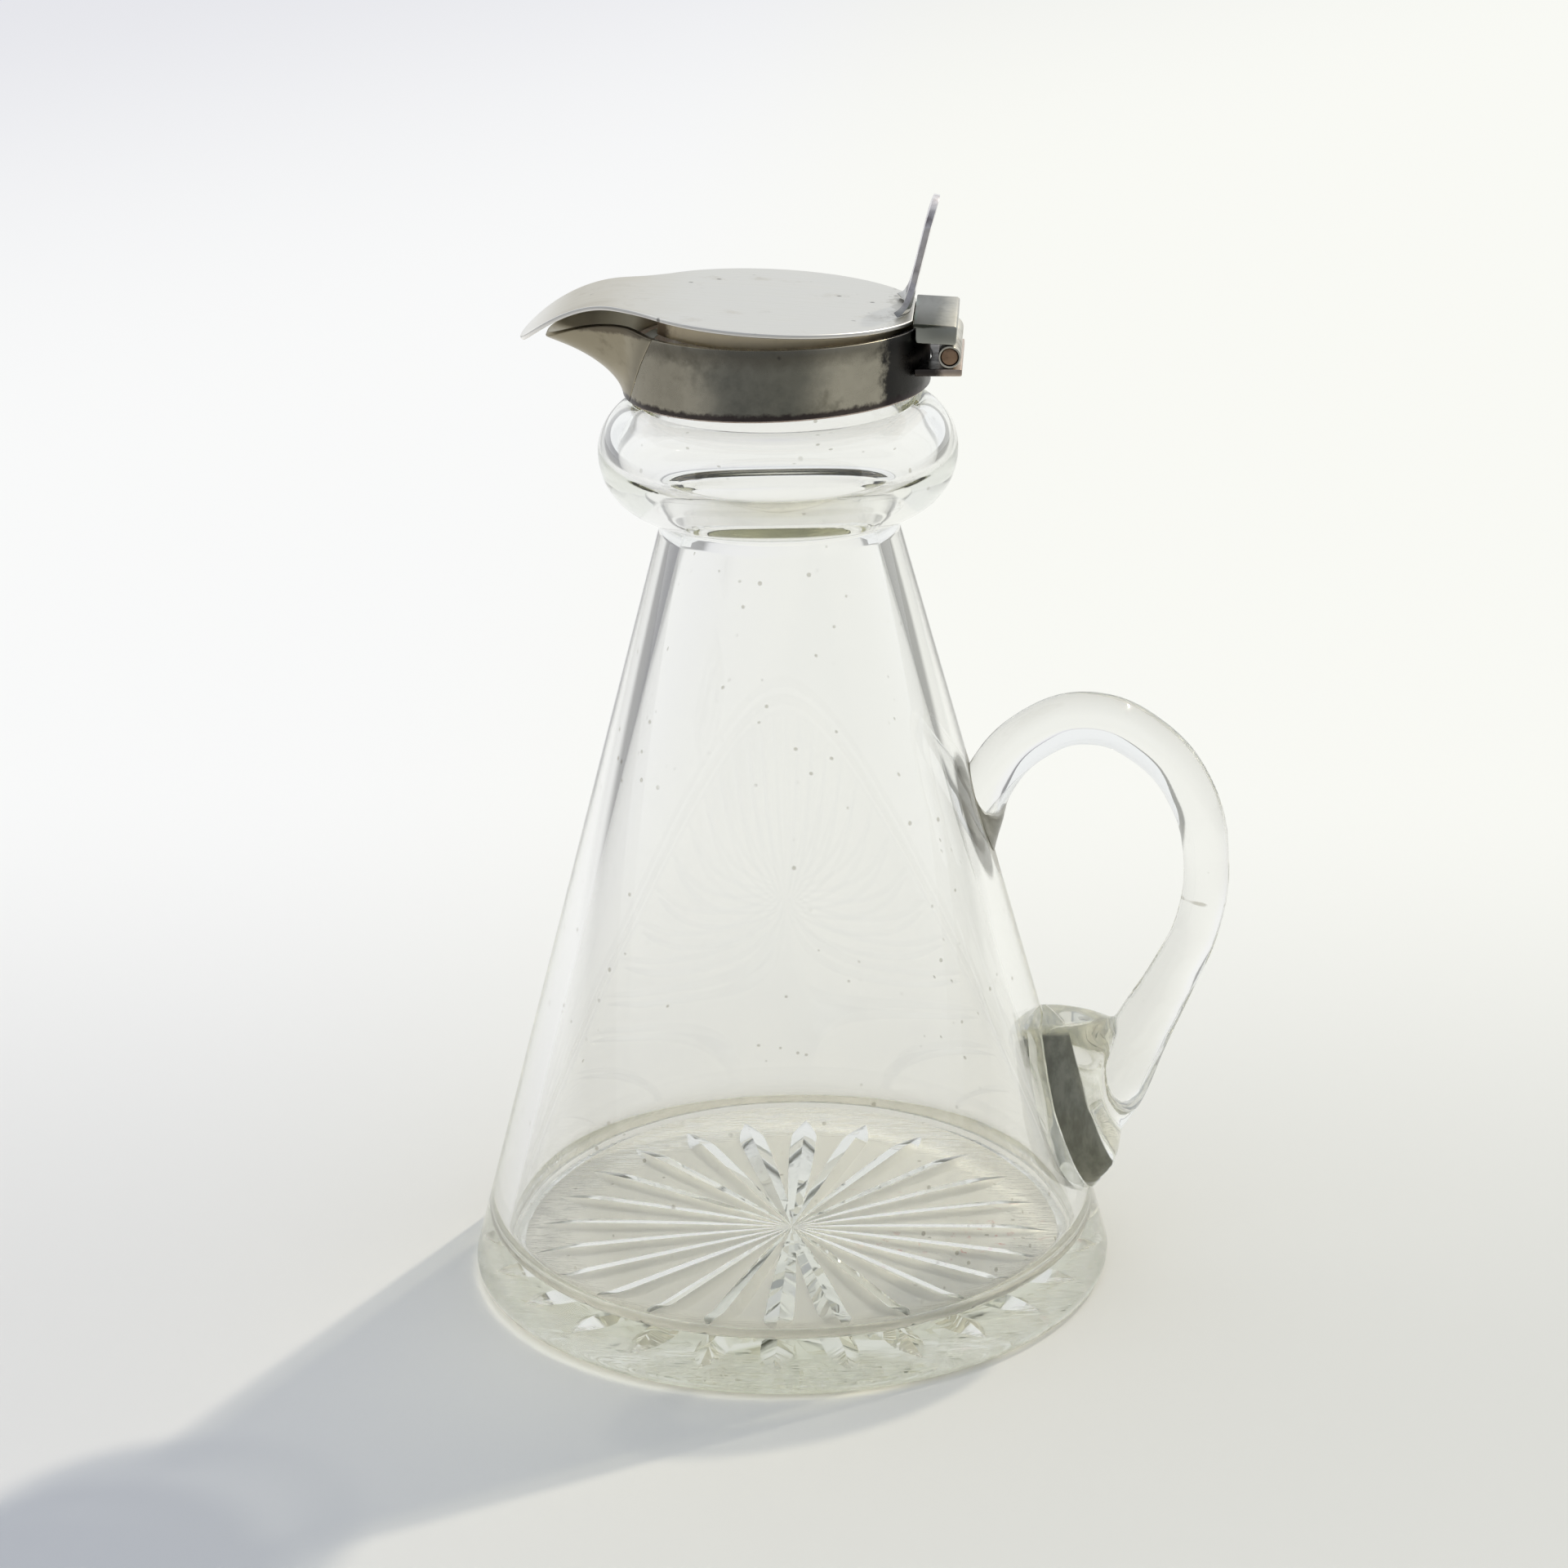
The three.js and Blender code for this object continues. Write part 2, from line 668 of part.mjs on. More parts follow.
const decanter = new THREE.Group();
decanter.add(body);

export default decanter;
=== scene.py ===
import math

import bmesh
import bpy
from mathutils import Matrix, Vector


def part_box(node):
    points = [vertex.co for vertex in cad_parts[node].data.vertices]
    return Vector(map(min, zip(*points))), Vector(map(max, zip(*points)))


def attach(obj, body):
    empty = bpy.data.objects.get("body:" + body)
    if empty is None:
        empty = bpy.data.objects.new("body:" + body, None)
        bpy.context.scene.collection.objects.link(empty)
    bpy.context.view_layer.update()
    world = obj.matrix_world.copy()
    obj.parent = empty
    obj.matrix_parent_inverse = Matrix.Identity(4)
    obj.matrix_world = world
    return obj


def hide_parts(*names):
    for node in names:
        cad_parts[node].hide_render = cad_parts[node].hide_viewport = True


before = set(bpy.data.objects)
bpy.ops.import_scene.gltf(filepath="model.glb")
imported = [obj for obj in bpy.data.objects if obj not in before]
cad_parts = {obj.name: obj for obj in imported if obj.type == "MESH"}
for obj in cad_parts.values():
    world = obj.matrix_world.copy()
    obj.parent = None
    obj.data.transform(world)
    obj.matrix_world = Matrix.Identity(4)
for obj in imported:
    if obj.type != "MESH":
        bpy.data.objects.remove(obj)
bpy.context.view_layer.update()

# Camera: it looks a little down on the jug from the front, with the pouring lip on the left
# and the handle on the right. Its place, turn and lens are those of the photograph.
mm = 0.001
foot_low, foot_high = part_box("glass_body")
axis_x = (foot_low.x + foot_high.x) / 2  # upright axis of the jug
view_azimuth = math.radians(4.0)
view_elevation = math.radians(19.048)
view_distance = 440.354 * mm
view_target = Vector((axis_x, 0, 60 * mm))
view_pitch = math.radians(-0.256)
view_roll = math.radians(-1.022)
view_lens = 89.70
view_sensor = 36

view_turn = (
    Matrix.Rotation(view_azimuth, 4, "Z")
    @ Matrix.Rotation(math.pi / 2 - view_elevation, 4, "X")
)
camera_data = bpy.data.cameras.new("camera")
camera_data.lens = view_lens
camera_data.sensor_width = view_sensor
camera = bpy.data.objects.new("camera", camera_data)
bpy.context.scene.collection.objects.link(camera)
camera.matrix_world = (
    Matrix.Translation(view_target + view_turn.to_3x3() @ Vector((0, 0, view_distance)))
    @ view_turn
    @ Matrix.Rotation(view_pitch, 4, "X")
    @ Matrix.Rotation(view_roll, 4, "Z")
)
bpy.context.scene.camera = camera
bpy.context.scene.view_settings.view_transform = "Standard"

# Light passes through many faces of clear glass and turns back often inside its foot.
light_turns = 32
for kind in ("max_bounces", "glossy_bounces", "transmission_bounces", "transparent_max_bounces"):
    setattr(bpy.context.scene.cycles, kind, light_turns)


# Studio: a wide sheet of pale paper, soft blue daylight all round, and one warm lamp at the
# back right, which throws the jug's shadow forward. To mirrors and glass, but not to the
# camera, the daylight is dimmer at the front and the paper is dimmer at the front and sides.
class Signal:
    """A value on its way through a material's nodes. Sums on it become Math nodes."""

    def __init__(self, finish, socket):
        self.finish = finish
        self.socket = socket

    def math(self, operation, *values):
        return self.finish.node("ShaderNodeMath", dict(enumerate(values)), operation=operation)

    def __add__(self, other):
        return self.math("ADD", self, other)

    def __sub__(self, other):
        return self.math("SUBTRACT", self, other)

    def __rsub__(self, other):
        return self.math("SUBTRACT", other, self)

    def __mul__(self, other):
        return self.math("MULTIPLY", self, other)

    def __truediv__(self, other):
        return self.math("DIVIDE", self, other)

    __radd__ = __add__
    __rmul__ = __mul__

    def size(self):
        """The value without its sign."""
        return self.math("ABSOLUTE", self)

    def between(self, low, high):
        """Share of the way from low to high, eased at both ends."""
        return self.finish.node(
            "ShaderNodeMapRange",
            {"Value": self, "From Min": low, "From Max": high},
            interpolation_type="SMOOTHSTEP",
        )


class Finish:
    """The nodes of one material, or of the world."""

    def __init__(self, owner):
        owner.use_nodes = True
        self.owner = owner
        self.tree = owner.node_tree
        self.tree.nodes.clear()

    def node(self, kind, values=None, output=0, **settings):
        """Adds a node: its settings first, then the values or links of its sockets."""
        node = self.tree.nodes.new(kind)
        for name, value in settings.items():
            setattr(node, name, value)
        for name, value in (values or {}).items():
            if isinstance(value, Signal):
                self.tree.links.new(value.socket, node.inputs[name])
            else:
                node.inputs[name].default_value = value
        return Signal(self, node.outputs[output])

    def mix(self, share, first, second):
        """Colour between two colours."""
        return self.node(
            "ShaderNodeMix", {0: share, 6: first, 7: second}, output=2, data_type="RGBA"
        )

    def blend(self, share, first, second):
        """Surface between two surfaces."""
        return self.node("ShaderNodeMixShader", {0: share, 1: first, 2: second})

    def place(self, output="Object"):
        return self.node("ShaderNodeTexCoord", output=output)

    def parts(self, vector):
        """The three numbers of a vector."""
        split = self.node("ShaderNodeSeparateXYZ", {0: vector})
        return [Signal(self, split.socket.node.outputs[i]) for i in range(3)]

    def facing(self):
        """The three numbers of the direction in which the surface faces."""
        return self.parts(self.node("ShaderNodeNewGeometry", output="Normal"))

    def stretched(self, vector, scale):
        return self.node("ShaderNodeMapping", {"Vector": vector, "Scale": scale})

    def noise(self, vector, scale, detail=2.0, roughness=0.5):
        values = {"Vector": vector, "Scale": scale, "Detail": detail, "Roughness": roughness}
        return self.node("ShaderNodeTexNoise", values)

    def grains(self, vector, scale):
        """Distance to the nearest of many scattered grains."""
        values = {"Vector": vector, "Scale": scale, "Randomness": 1.0}
        return self.node("ShaderNodeTexVoronoi", values, output="Distance")

    def bump(self, height):
        values = {"Height": height, "Distance": 1.0, "Strength": 1.0}
        return self.node("ShaderNodeBump", values)

    def ray(self, kind):
        return self.node("ShaderNodeLightPath", output=kind)

    def end(self, shader, volume=None):
        """Wires the shader to the material's output, and the volume if it has one."""
        is_world = self.owner.bl_rna.name == "World"
        kind = "ShaderNodeOutputWorld" if is_world else "ShaderNodeOutputMaterial"
        values = {"Surface": shader}
        if volume:
            values["Volume"] = volume
        output = self.tree.nodes.new(kind)
        for name, value in values.items():
            self.tree.links.new(value.socket, output.inputs[name])
        return self.owner


def deselect():
    if bpy.context.object and bpy.context.object.mode == "EDIT":
        bpy.ops.object.mode_set(mode="OBJECT")
    bpy.ops.object.select_all(action="DESELECT")


def begin(add, name, **settings):
    """Adds a primitive with nothing else selected, and opens it in edit mode."""
    deselect()
    add(**settings)
    piece = bpy.context.object
    piece.name = name
    piece.data.name = name
    if piece.type == "MESH":
        bpy.ops.object.mode_set(mode="EDIT")
    return piece


def settle(piece, *modifiers, smooth=None):
    """Puts a piece's place into its mesh, applies modifiers in turn, and smooths its shading."""
    deselect()
    piece.select_set(True)
    bpy.context.view_layer.objects.active = piece
    bpy.ops.object.transform_apply(location=True, rotation=True, scale=True)
    for kind, settings in modifiers:
        modifier = piece.modifiers.new(kind.lower(), kind)
        for name, value in settings.items():
            setattr(modifier, name, value)
        bpy.ops.object.modifier_apply(modifier=modifier.name)
    if smooth is not None:
        bpy.ops.object.shade_smooth_by_angle(angle=math.radians(smooth))
    return piece


def wear(piece, material):
    """Gives a piece its material in place of the one that it has."""
    piece.data.materials.clear()
    piece.data.materials.append(material)


sheet_size = 5.0
near_painted_tone = 0.735  # painted light: how pale the sheet is painted near the camera
far_painted_gain = 0.215  # painted light: how much paler the sheet is painted behind the jug
floor_drop = 0.15 * mm  # the foot isn't quite in touch with the sheet
sun_direction = Vector((0.4585, 0.5137, 0.7252))
sun_strength = 1.66
sun_width = math.radians(1.6)

world = bpy.data.worlds.new("daylight")
bpy.context.scene.world = world
sky = Finish(world)
world.cycles.sampling_method = "NONE"
across, ahead, up = sky.parts(sky.place("Generated"))
behind = (ahead + up * 0.25).between(-0.55, 0.6)
mirrored = sky.mix(behind, (0.34, 0.36, 0.39, 1), (0.92, 0.94, 0.95, 1))
daylight = sky.mix(sky.ray("Is Diffuse Ray"), mirrored, (0.616, 0.647, 0.715, 1))
seen = sky.mix(sky.ray("Is Camera Ray"), daylight, (0.91, 0.915, 0.91, 1))
sky.end(sky.node("ShaderNodeBackground", {"Color": seen}))

lamp_data = bpy.data.lights.new("window_lamp", "SUN")
lamp_data.energy = sun_strength
lamp_data.angle = sun_width
lamp_data.color = (1.0, 0.92, 0.75)
lamp = bpy.data.objects.new("window_lamp", lamp_data)
lamp.rotation_euler = sun_direction.to_track_quat("Z", "Y").to_euler()
bpy.context.scene.collection.objects.link(lamp)

sheet = begin(
    bpy.ops.mesh.primitive_grid_add,
    "paper_sheet",
    x_subdivisions=8,
    y_subdivisions=8,
    size=sheet_size,
    location=(axis_x, 0, -floor_drop),
)
settle(sheet)
paper = Finish(bpy.data.materials.new("pale_paper"))
x, y, z = paper.parts(paper.place())
# Painted light on the paper: painted darker near the camera and towards the far left, paler behind
# the jug, a little bluer at the far left and warmer on the right.
far_left_painted_shade = (y - x * 1.5).between(0.6, 1.7)
level = near_painted_tone + y.between(-0.05, 0.17) * far_painted_gain - far_left_painted_shade * 0.16
front_dusk = (0 - y).between(0.10, 0.40)
side_dusk = x.size().between(0.22, 0.34)
dusk = 1 - (1 - front_dusk) * (1 - side_dusk)
level = level * (1 - dusk * (1 - paper.ray("Is Camera Ray")) * 0.6)
blue = 1 - x.between(-0.10, 0.0) * 0.045 + far_left_painted_shade * 0.05
tone = paper.node("ShaderNodeCombineXYZ", {0: level, 1: level * 1.005, 2: level * blue})
paper.end(paper.node("ShaderNodeBsdfDiffuse", {"Color": tone}))
wear(sheet, paper.owner)


# Glass body: one blown piece of clear lead glass, a cone on a thick foot with a bulge below
# the neck. Its foot is ground flat, and a star of 24 rays is cut into it with a wheel.
foot_radius = 37 * mm
foot_edge = 1.2 * mm
pinch_radius = 13.3 * mm
pinch_height = 88.2 * mm
pinch_band = 1.9 * mm
bulge_radius = 19.75 * mm
bulge_lower = 6.9 * mm
bulge_upper = 5.5 * mm
neck_radius = 15.1 * mm
neck_height = 6.4 * mm
cone_wall = 3 * mm
bulge_wall = 2.25 * mm
neck_wall = 1.5 * mm
throat_height = 89 * mm
floor_thickness = 4.4 * mm
floor_corner = 3 * mm
floor_turn = 60  # degrees that the wall turns before it meets the floor
star_rays = 24
star_radius = 30.2 * mm
star_width = 3.3 * mm
star_depth = 0.95 * mm
star_deepest = 5 / 6  # where along each ray the cut is widest
star_middle = 0.25  # share of its depth that a cut has left in the middle of the star
glass_steps = 256

bulge_height = pinch_height + pinch_band + bulge_lower
neck_bottom = bulge_height + bulge_upper
neck_top = neck_bottom + neck_height


def cone_radius(height):
    share = (height - foot_edge) / (pinch_height - foot_edge)
    return foot_radius + (pinch_radius - foot_radius) * share


def arc(middle, height, reach, rise, first, last, steps):
    """Part of an ellipse, as points of radius and height, between two angles in degrees."""
    points = []
    for i in range(steps + 1):
        angle = math.radians(first + (last - first) * i / steps)
        points.append((middle + reach * math.cos(angle), height + rise * math.sin(angle)))
    return points


def straight(first, last, steps=2):
    """Points along a straight stretch, with one close to each end to keep its shading flat."""
    run = math.dist(first, last)
    shares = [flat_end / run, *[i / steps for i in range(1, steps)], 1 - flat_end / run]
    rise = (last[0] - first[0], last[1] - first[1])
    return [(first[0] + rise[0] * share, first[1] + rise[1] * share) for share in shares]


def draw_line(name, points):
    """Draws a line of edges through points, from a plane merged to one corner."""
    line = begin(bpy.ops.mesh.primitive_plane_add, name, size=mm)
    bpy.ops.mesh.select_mode(type="VERT")
    bpy.ops.mesh.merge(type="CENTER")
    bpy.ops.transform.translate(value=points[0])
    for last, point in zip(points, points[1:]):
        step = Vector(point) - Vector(last)
        bpy.ops.mesh.extrude_vertices_move(TRANSFORM_OT_translate={"value": step})
    return line


def spin_round(line, steps, middle):
    """Spins the line full circle and closes its seam and poles."""
    bpy.ops.mesh.select_all(action="SELECT")
    bpy.ops.mesh.spin(steps=steps, angle=2 * math.pi, center=middle, axis=(0, 0, 1))
    bpy.ops.mesh.select_all(action="SELECT")
    bpy.ops.mesh.remove_doubles(threshold=0.001 * mm)
    bpy.ops.mesh.normals_make_consistent(inside=False)
    return settle(line)


flat_end = 0.2 * mm
cone_slope = math.degrees(math.atan((foot_radius - pinch_radius) / (pinch_height - foot_edge)))
edge_middle = foot_radius - foot_edge / math.cos(math.radians(cone_slope))
corner_height = floor_thickness + floor_corner * math.sin(math.radians(floor_turn))
corner_radius = (
    cone_radius(corner_height) - cone_wall - floor_corner / math.cos(math.radians(cone_slope))
)
inner_neck = neck_radius - neck_wall
inner_bulge = bulge_radius - bulge_wall
inner_throat = pinch_radius - cone_wall
pinch_fillet = 0.5 * mm
foot_rim = arc(edge_middle, foot_edge, foot_edge, foot_edge, -90, cone_slope, 12)
pinch = (pinch_radius, pinch_height)
band = arc(pinch_radius + pinch_fillet, pinch_height + pinch_band - pinch_fillet,
           pinch_fillet, pinch_fillet, 180, 90, 5)
bulge = [
    *arc(pinch_radius, bulge_height, bulge_radius - pinch_radius, bulge_lower, -84, 0, 28),
    *arc(neck_radius, bulge_height, bulge_radius - neck_radius, bulge_upper, 3, 90, 26),
]
mouth = (neck_radius, neck_top)
inner_mouth = (inner_neck, neck_top)
hollow = arc(inner_neck, bulge_height, inner_bulge - inner_neck, bulge_upper - neck_wall, 90, 0, 26)
throat_steps = 40
for i in range(1, throat_steps + 1):
    swell = (1 + math.cos(math.pi * i / throat_steps)) / 2
    height = bulge_height + (throat_height - bulge_height) * i / throat_steps
    hollow.append((inner_throat + (inner_bulge - inner_throat) * swell, height))
corner = arc(corner_radius, corner_height, floor_corner, floor_corner, cone_slope, -floor_turn, 18)
floor_middle = (0, floor_thickness)
profile = [
    (0, 0), *straight((0, 0), foot_rim[0], 6), *foot_rim, *straight(foot_rim[-1], pinch, 8), pinch,
    *straight(pinch, band[0], 1), *band, *bulge, *straight(bulge[-1], mouth), mouth,
    inner_mouth, *straight(inner_mouth, hollow[0]), *hollow, *straight(hollow[-1], corner[0], 8),
    *corner, *straight(corner[-1], floor_middle, 4), floor_middle,
]
glass_body = draw_line("glass_body_fine", [(axis_x + r, 0, z) for r, z in profile])
spin_round(glass_body, glass_steps, (axis_x, 0, 0))

cut_below = 0.3 * mm
cut_lift = 0.02 * mm
cut_steps = 72
cut_slope = star_width / 2 / star_depth
cut = begin(
    bpy.ops.mesh.primitive_cylinder_add,
    "star_cut",
    vertices=3,
    radius=star_depth,
    depth=2 * star_radius,
    rotation=(math.pi / 2, 0, 0),
)
bpy.ops.object.mode_set(mode="OBJECT")
settle(cut)
bpy.ops.object.mode_set(mode="EDIT")
bpy.ops.mesh.select_mode(type="EDGE")
bpy.ops.mesh.select_all(action="DESELECT")
edges = bmesh.from_edit_mesh(cut.data)
for edge in edges.edges:
    edge.select_set(abs(edge.verts[0].co.y - edge.verts[1].co.y) > star_radius)
bpy.ops.mesh.subdivide(number_cuts=cut_steps - 1)
bpy.ops.object.mode_set(mode="OBJECT")
ridge = max(cut.data.vertices, key=lambda v: v.co.z).co.z
for vertex in cut.data.vertices:
    along = abs(vertex.co.y) / star_radius
    if along < star_deepest:
        leaf = star_middle + (1 - star_middle) * math.sin(math.pi / 2 * along / star_deepest)
    else:
        leaf = 1 - ((along - star_deepest) / (1 - star_deepest)) ** 1.5
    depth = star_depth * leaf - cut_lift
    if vertex.co.z > ridge / 2:
        vertex.co = (0, vertex.co.y, depth)
    else:
        side = math.copysign(cut_slope * (depth + cut_below), vertex.co.x)
        vertex.co = (side, vertex.co.y, -cut_below)
cut.data.update()
cuts = [cut]
for i in range(1, star_rays // 2):
    turned = cut.copy()
    turned.data = cut.data.copy()
    turned.data.transform(Matrix.Rotation(2 * math.pi * i / star_rays, 4, "Z"))
    bpy.context.scene.collection.objects.link(turned)
    cuts.append(turned)
onto_axis = Matrix.Translation((axis_x, 0, 0)) @ Matrix.Rotation(math.pi / 2, 4, "Z")
for piece in cuts:
    piece.data.transform(onto_axis)
    carve = {"object": piece, "operation": "DIFFERENCE", "solver": "MANIFOLD"}
    settle(glass_body, ("BOOLEAN", carve))
    bpy.data.objects.remove(piece)
settle(glass_body, smooth=18)

glass_ior = 1.53
wave_height = 0.02 * mm
scuff_height = 0.03 * mm
root_height = 54.2 * mm  # middle of the place where the handle's upper end is laid on
root_half_length = 7.7 * mm
root_half_width = 3.4 * mm
pad_foot = 8.2 * mm  # lowest point of the handle's pad
pad_length = 21.8 * mm
pad_thickness = 5.4 * mm
glass_light = (0.65, 0.66, 0.67, 1)  # what each surface lets through to the shadow
glass_tint = (0.93, 0.932, 0.9, 1)
tint_density = 80.0
dirt = (0.45, 0.43, 0.38, 1)
red_chalk = (0.72, 0.28, 0.28, 1)
residue_tones = ((0.24, 0.235, 0.2, 1), (0.44, 0.43, 0.38, 1))
upper_film = ((0.34, 0.33, 0.28, 1), (0.62, 0.61, 0.56, 1))
lower_film = ((0.8, 0.8, 0.74, 1), (0.95, 0.95, 0.92, 1))
# colours of the painted dark reflection on the pad's flat sides
painted_reflection_tones = ((0.155, 0.155, 0.115, 1), (0.24, 0.24, 0.185, 1))


def clear_glass(name, ground=False, joined=False):
    """Clear glass with faint waves and specks of dirt.

    ground adds scuffs and crumbs of chalk where the foot is ground flat, and residue at the
    handle's root and on the mouth's edge. joined lets light pass unbent where the piece is
    fused to the cone, and paints the pad's flat sides dull dark olive from outside, as a painted
    dark reflection.
    """
    glass = Finish(bpy.data.materials.new(name))
    place = glass.place()
    x, y, z = glass.parts(place)
    long_waves = glass.noise(glass.stretched(place, (1, 1, 0.35)), 90, 1.0)
    height = long_waves * wave_height
    if ground:
        scuffs = glass.noise(glass.stretched(place, (0.35, 3.0, 1)), 900, 3.0, 0.7)
        ends = {0: place, 1: (axis_x, 0, 0)}
        radius = glass.node("ShaderNodeVectorMath", ends, output="Value", operation="DISTANCE")
        worn = (1 - z.between(0.1 * mm, 0.4 * mm)) * radius.between(24 * mm, 29 * mm)
        height = height + scuffs.between(0.45, 0.75) * worn * scuff_height
    patches = glass.noise(place, 60, 2.0)
    speck = (1 - glass.grains(place, 330.0).between(0.06, 0.11)) * patches.between(0.52, 0.58)
    colour = glass.mix(speck, (1, 1, 1, 1), dirt)
    if ground:
        crumbs = glass.noise(place, 620, 3.0, 0.6).between(0.63, 0.68)
        spots = glass.noise(place, 95, 1.0).between(0.53, 0.6)
        right = (x - axis_x).between(4 * mm, 8 * mm) * (1 - y.size().between(7 * mm, 11 * mm))
        chalk = crumbs * spots * right * (1 - z.between(3 * mm, 6 * mm))
        colour = glass.mix(chalk, colour, red_chalk)
    body = glass.node(
        "ShaderNodeBsdfPrincipled",
        {
            "Base Color": colour,
            "Roughness": 0.0,
            "IOR": glass_ior,
            "Transmission Weight": 1.0,
            "Normal": glass.bump(height),
        },
    )
    squares = (x - axis_x) * (x - axis_x) + y * y
    outside = squares.math("SQRT", squares) - foot_radius
    outside = outside + (z - foot_edge) * math.tan(math.radians(cone_slope))
    if ground:
        tall = (z - root_height) / root_half_length
        wide = y / root_half_width
        root = 1 - (tall * tall + wide * wide + (patches - 0.5) * 1.5).between(0.7, 1.1)
        root = root * (x - axis_x).between(0, mm)
        root = root * outside.between(-1.5 * mm, -1.4 * mm)
        residue_tone = glass.mix(patches.between(0.4, 0.6), *residue_tones)
        residue = glass.node(
            "ShaderNodeBsdfPrincipled", {"Base Color": residue_tone, "Roughness": 0.4}
        )
        mouth_edge = (z - neck_top).between(-0.15 * mm, -0.05 * mm)
        stained = 1 - (1 - root * 0.75) * (1 - mouth_edge * 0.9)
        body = glass.blend(stained, body, residue)
    if joined:
        streaks = glass.noise(glass.stretched(place, (1.6, 1.6, 0.5)), 420, 3.0, 0.65)
        streaks = streaks.between(0.35, 0.7)
        upper = glass.mix(streaks, *upper_film)
        lower = glass.mix(streaks, *lower_film)
        film = glass.node(
            "ShaderNodeBsdfPrincipled",
            {
                "Base Color": glass.mix(z.between(36 * mm, 46 * mm), lower, upper),
                "Roughness": 0.0,
                "IOR": 1.0,
                "Transmission Weight": 1.0,
            },
        )
        fused = 1 - outside.between(0.08 * mm, 0.14 * mm)
        body = glass.blend(fused, body, film)
        # Painted reflection: from outside, the pad's flat sides are painted dull dark olive in
        # place of the dark that they reflect.
        painted_reflection_tone = glass.mix(streaks, *painted_reflection_tones)
        painted_reflection = glass.node(
            "ShaderNodeBsdfPrincipled", {"Base Color": painted_reflection_tone, "Roughness": 0.22}
        )
        sideways = glass.facing()[1].size()
        inside = glass.node("ShaderNodeNewGeometry", output="Backfacing")
        share = (z - pad_foot) / pad_length
        rim = (1.0 - share * 0.42) * pad_thickness
        side = sideways.between(0.55, 0.7) * (1 - share.between(0.95, 0.985)) * (1 - inside)
        side = side * (1 - (outside - rim).between(-0.1 * mm, 0.1 * mm)) * (1 - fused)
        body = glass.blend(side, body, painted_reflection)
    passing = glass.node("ShaderNodeBsdfTransparent", {"Color": glass_light})
    surface = glass.blend(glass.ray("Is Shadow Ray"), body, passing)
    tinge = {"Color": glass_tint, "Density": tint_density}
    return glass.end(surface, glass.node("ShaderNodeVolumeAbsorption", tinge))


wear(glass_body, clear_glass("body_glass", ground=True))
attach(glass_body, "vessel")
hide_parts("glass_body")


# Glass handle: a drawn rod of the same glass, laid on hot. Its upper end is drawn out along the
# cone, and its lower end is pressed on as a shield-shaped pad with flat sides.
glass_joint = 0.05 * mm
pad_width = 15.6 * mm
pad_wall = 0.12  # share of the pad's half width that its steep sides take
pad_batter = 0.05  # share of the half width by which the sides lean out
pad_sink = 0.25  # share of the thickness by which the sides reach into the cone
handle_grain = 0.3 * mm
rod_line = [  # reach, height and radius along the rod, from its upper end to the pad
    (21.4, 49.6, 2.2),
    (22.0, 54.1, 2.75),
    (23.2, 58.6, 2.95),
    (28.4, 64.2, 3.0),
    (34.3, 65.9, 3.0),
    (40.9, 63.2, 2.9),
    (45.8, 57.0, 2.8),
    (47.6, 49.0, 2.6),
    (46.7, 41.3, 2.6),
    (44.0, 35.0, 2.85),
    (40.6, 28.4, 3.4),
    (37.4, 21.5, 3.9),
    (34.2, 16.2, 3.5),
    (31.2, 12.4, 2.4),
]
pad_stations = [  # share of the length, then of the width, side height and crest height
    (0.0, 0.04, 0.0, 0.01),
    (0.05, 0.28, 0.12, 0.15),
    (0.13, 0.55, 0.34, 0.38),
    (0.2, 0.71, 0.58, 0.62),
    (0.27, 0.82, 0.82, 0.86),
    (0.35, 0.89, 0.98, 1.0),
    (0.43, 0.95, 0.9, 1.0),
    (0.6, 1.0, 0.7, 0.96),
    (0.76, 0.86, 0.56, 1.15),
    (0.88, 0.68, 0.46, 1.5),
    (0.95, 0.54, 0.42, 1.7),
    (1.0, 0.46, 0.3, 1.25),
]

rod = begin(bpy.ops.curve.primitive_bezier_curve_add, "glass_handle_fine")
rod.data.dimensions = "3D"
rod.data.bevel_depth = mm
rod.data.bevel_resolution = 10
rod.data.resolution_u = 16
rod.data.use_fill_caps = True
strand = rod.data.splines[0]
strand.bezier_points.add(len(rod_line) - 2)
for knot, (reach, height, radius) in zip(strand.bezier_points, rod_line):
    knot.co = (axis_x + reach * mm, 0, height * mm)
    knot.radius = radius
    knot.handle_left_type = "AUTO"
    knot.handle_right_type = "AUTO"
bpy.ops.object.convert(target="MESH")


def pad_station(share):
    """Width, side height and crest height at a share of the pad's length."""
    for low, high in zip(pad_stations, pad_stations[1:]):
        if share <= high[0]:
            part = (share - low[0]) / (high[0] - low[0])
            return [a + (b - a) * part for a, b in zip(low[1:], high[1:])]
    return pad_stations[-1][1:]


pad = begin(
    bpy.ops.mesh.primitive_grid_add, "pad", x_subdivisions=40, y_subdivisions=64, size=2
)
bpy.ops.object.mode_set(mode="OBJECT")
for vertex in pad.data.vertices:
    across, along = vertex.co.x, (vertex.co.y + 1) / 2
    width, side, crest = pad_station(along)
    radius = cone_radius(pad_foot + along * pad_length)
    edge = max(0, (abs(across) - 1 + pad_wall) / pad_wall)
    inner = min(1, abs(across) / (1 - pad_wall))
    height = (side + (crest - side) * (1 - inner**2)) * (1 - edge) - pad_sink * edge
    out = (1 - pad_batter) * inner + pad_batter * edge
    turn = math.copysign(out, across) * width * pad_width / 2 / radius
    reach = radius + height * pad_thickness
    vertex.co = (
        axis_x + reach * math.cos(turn),
        reach * math.sin(turn),
        pad_foot + along * pad_length,
    )
bpy.ops.object.mode_set(mode="EDIT")
bpy.ops.mesh.select_all(action="SELECT")
bpy.ops.mesh.extrude_region()
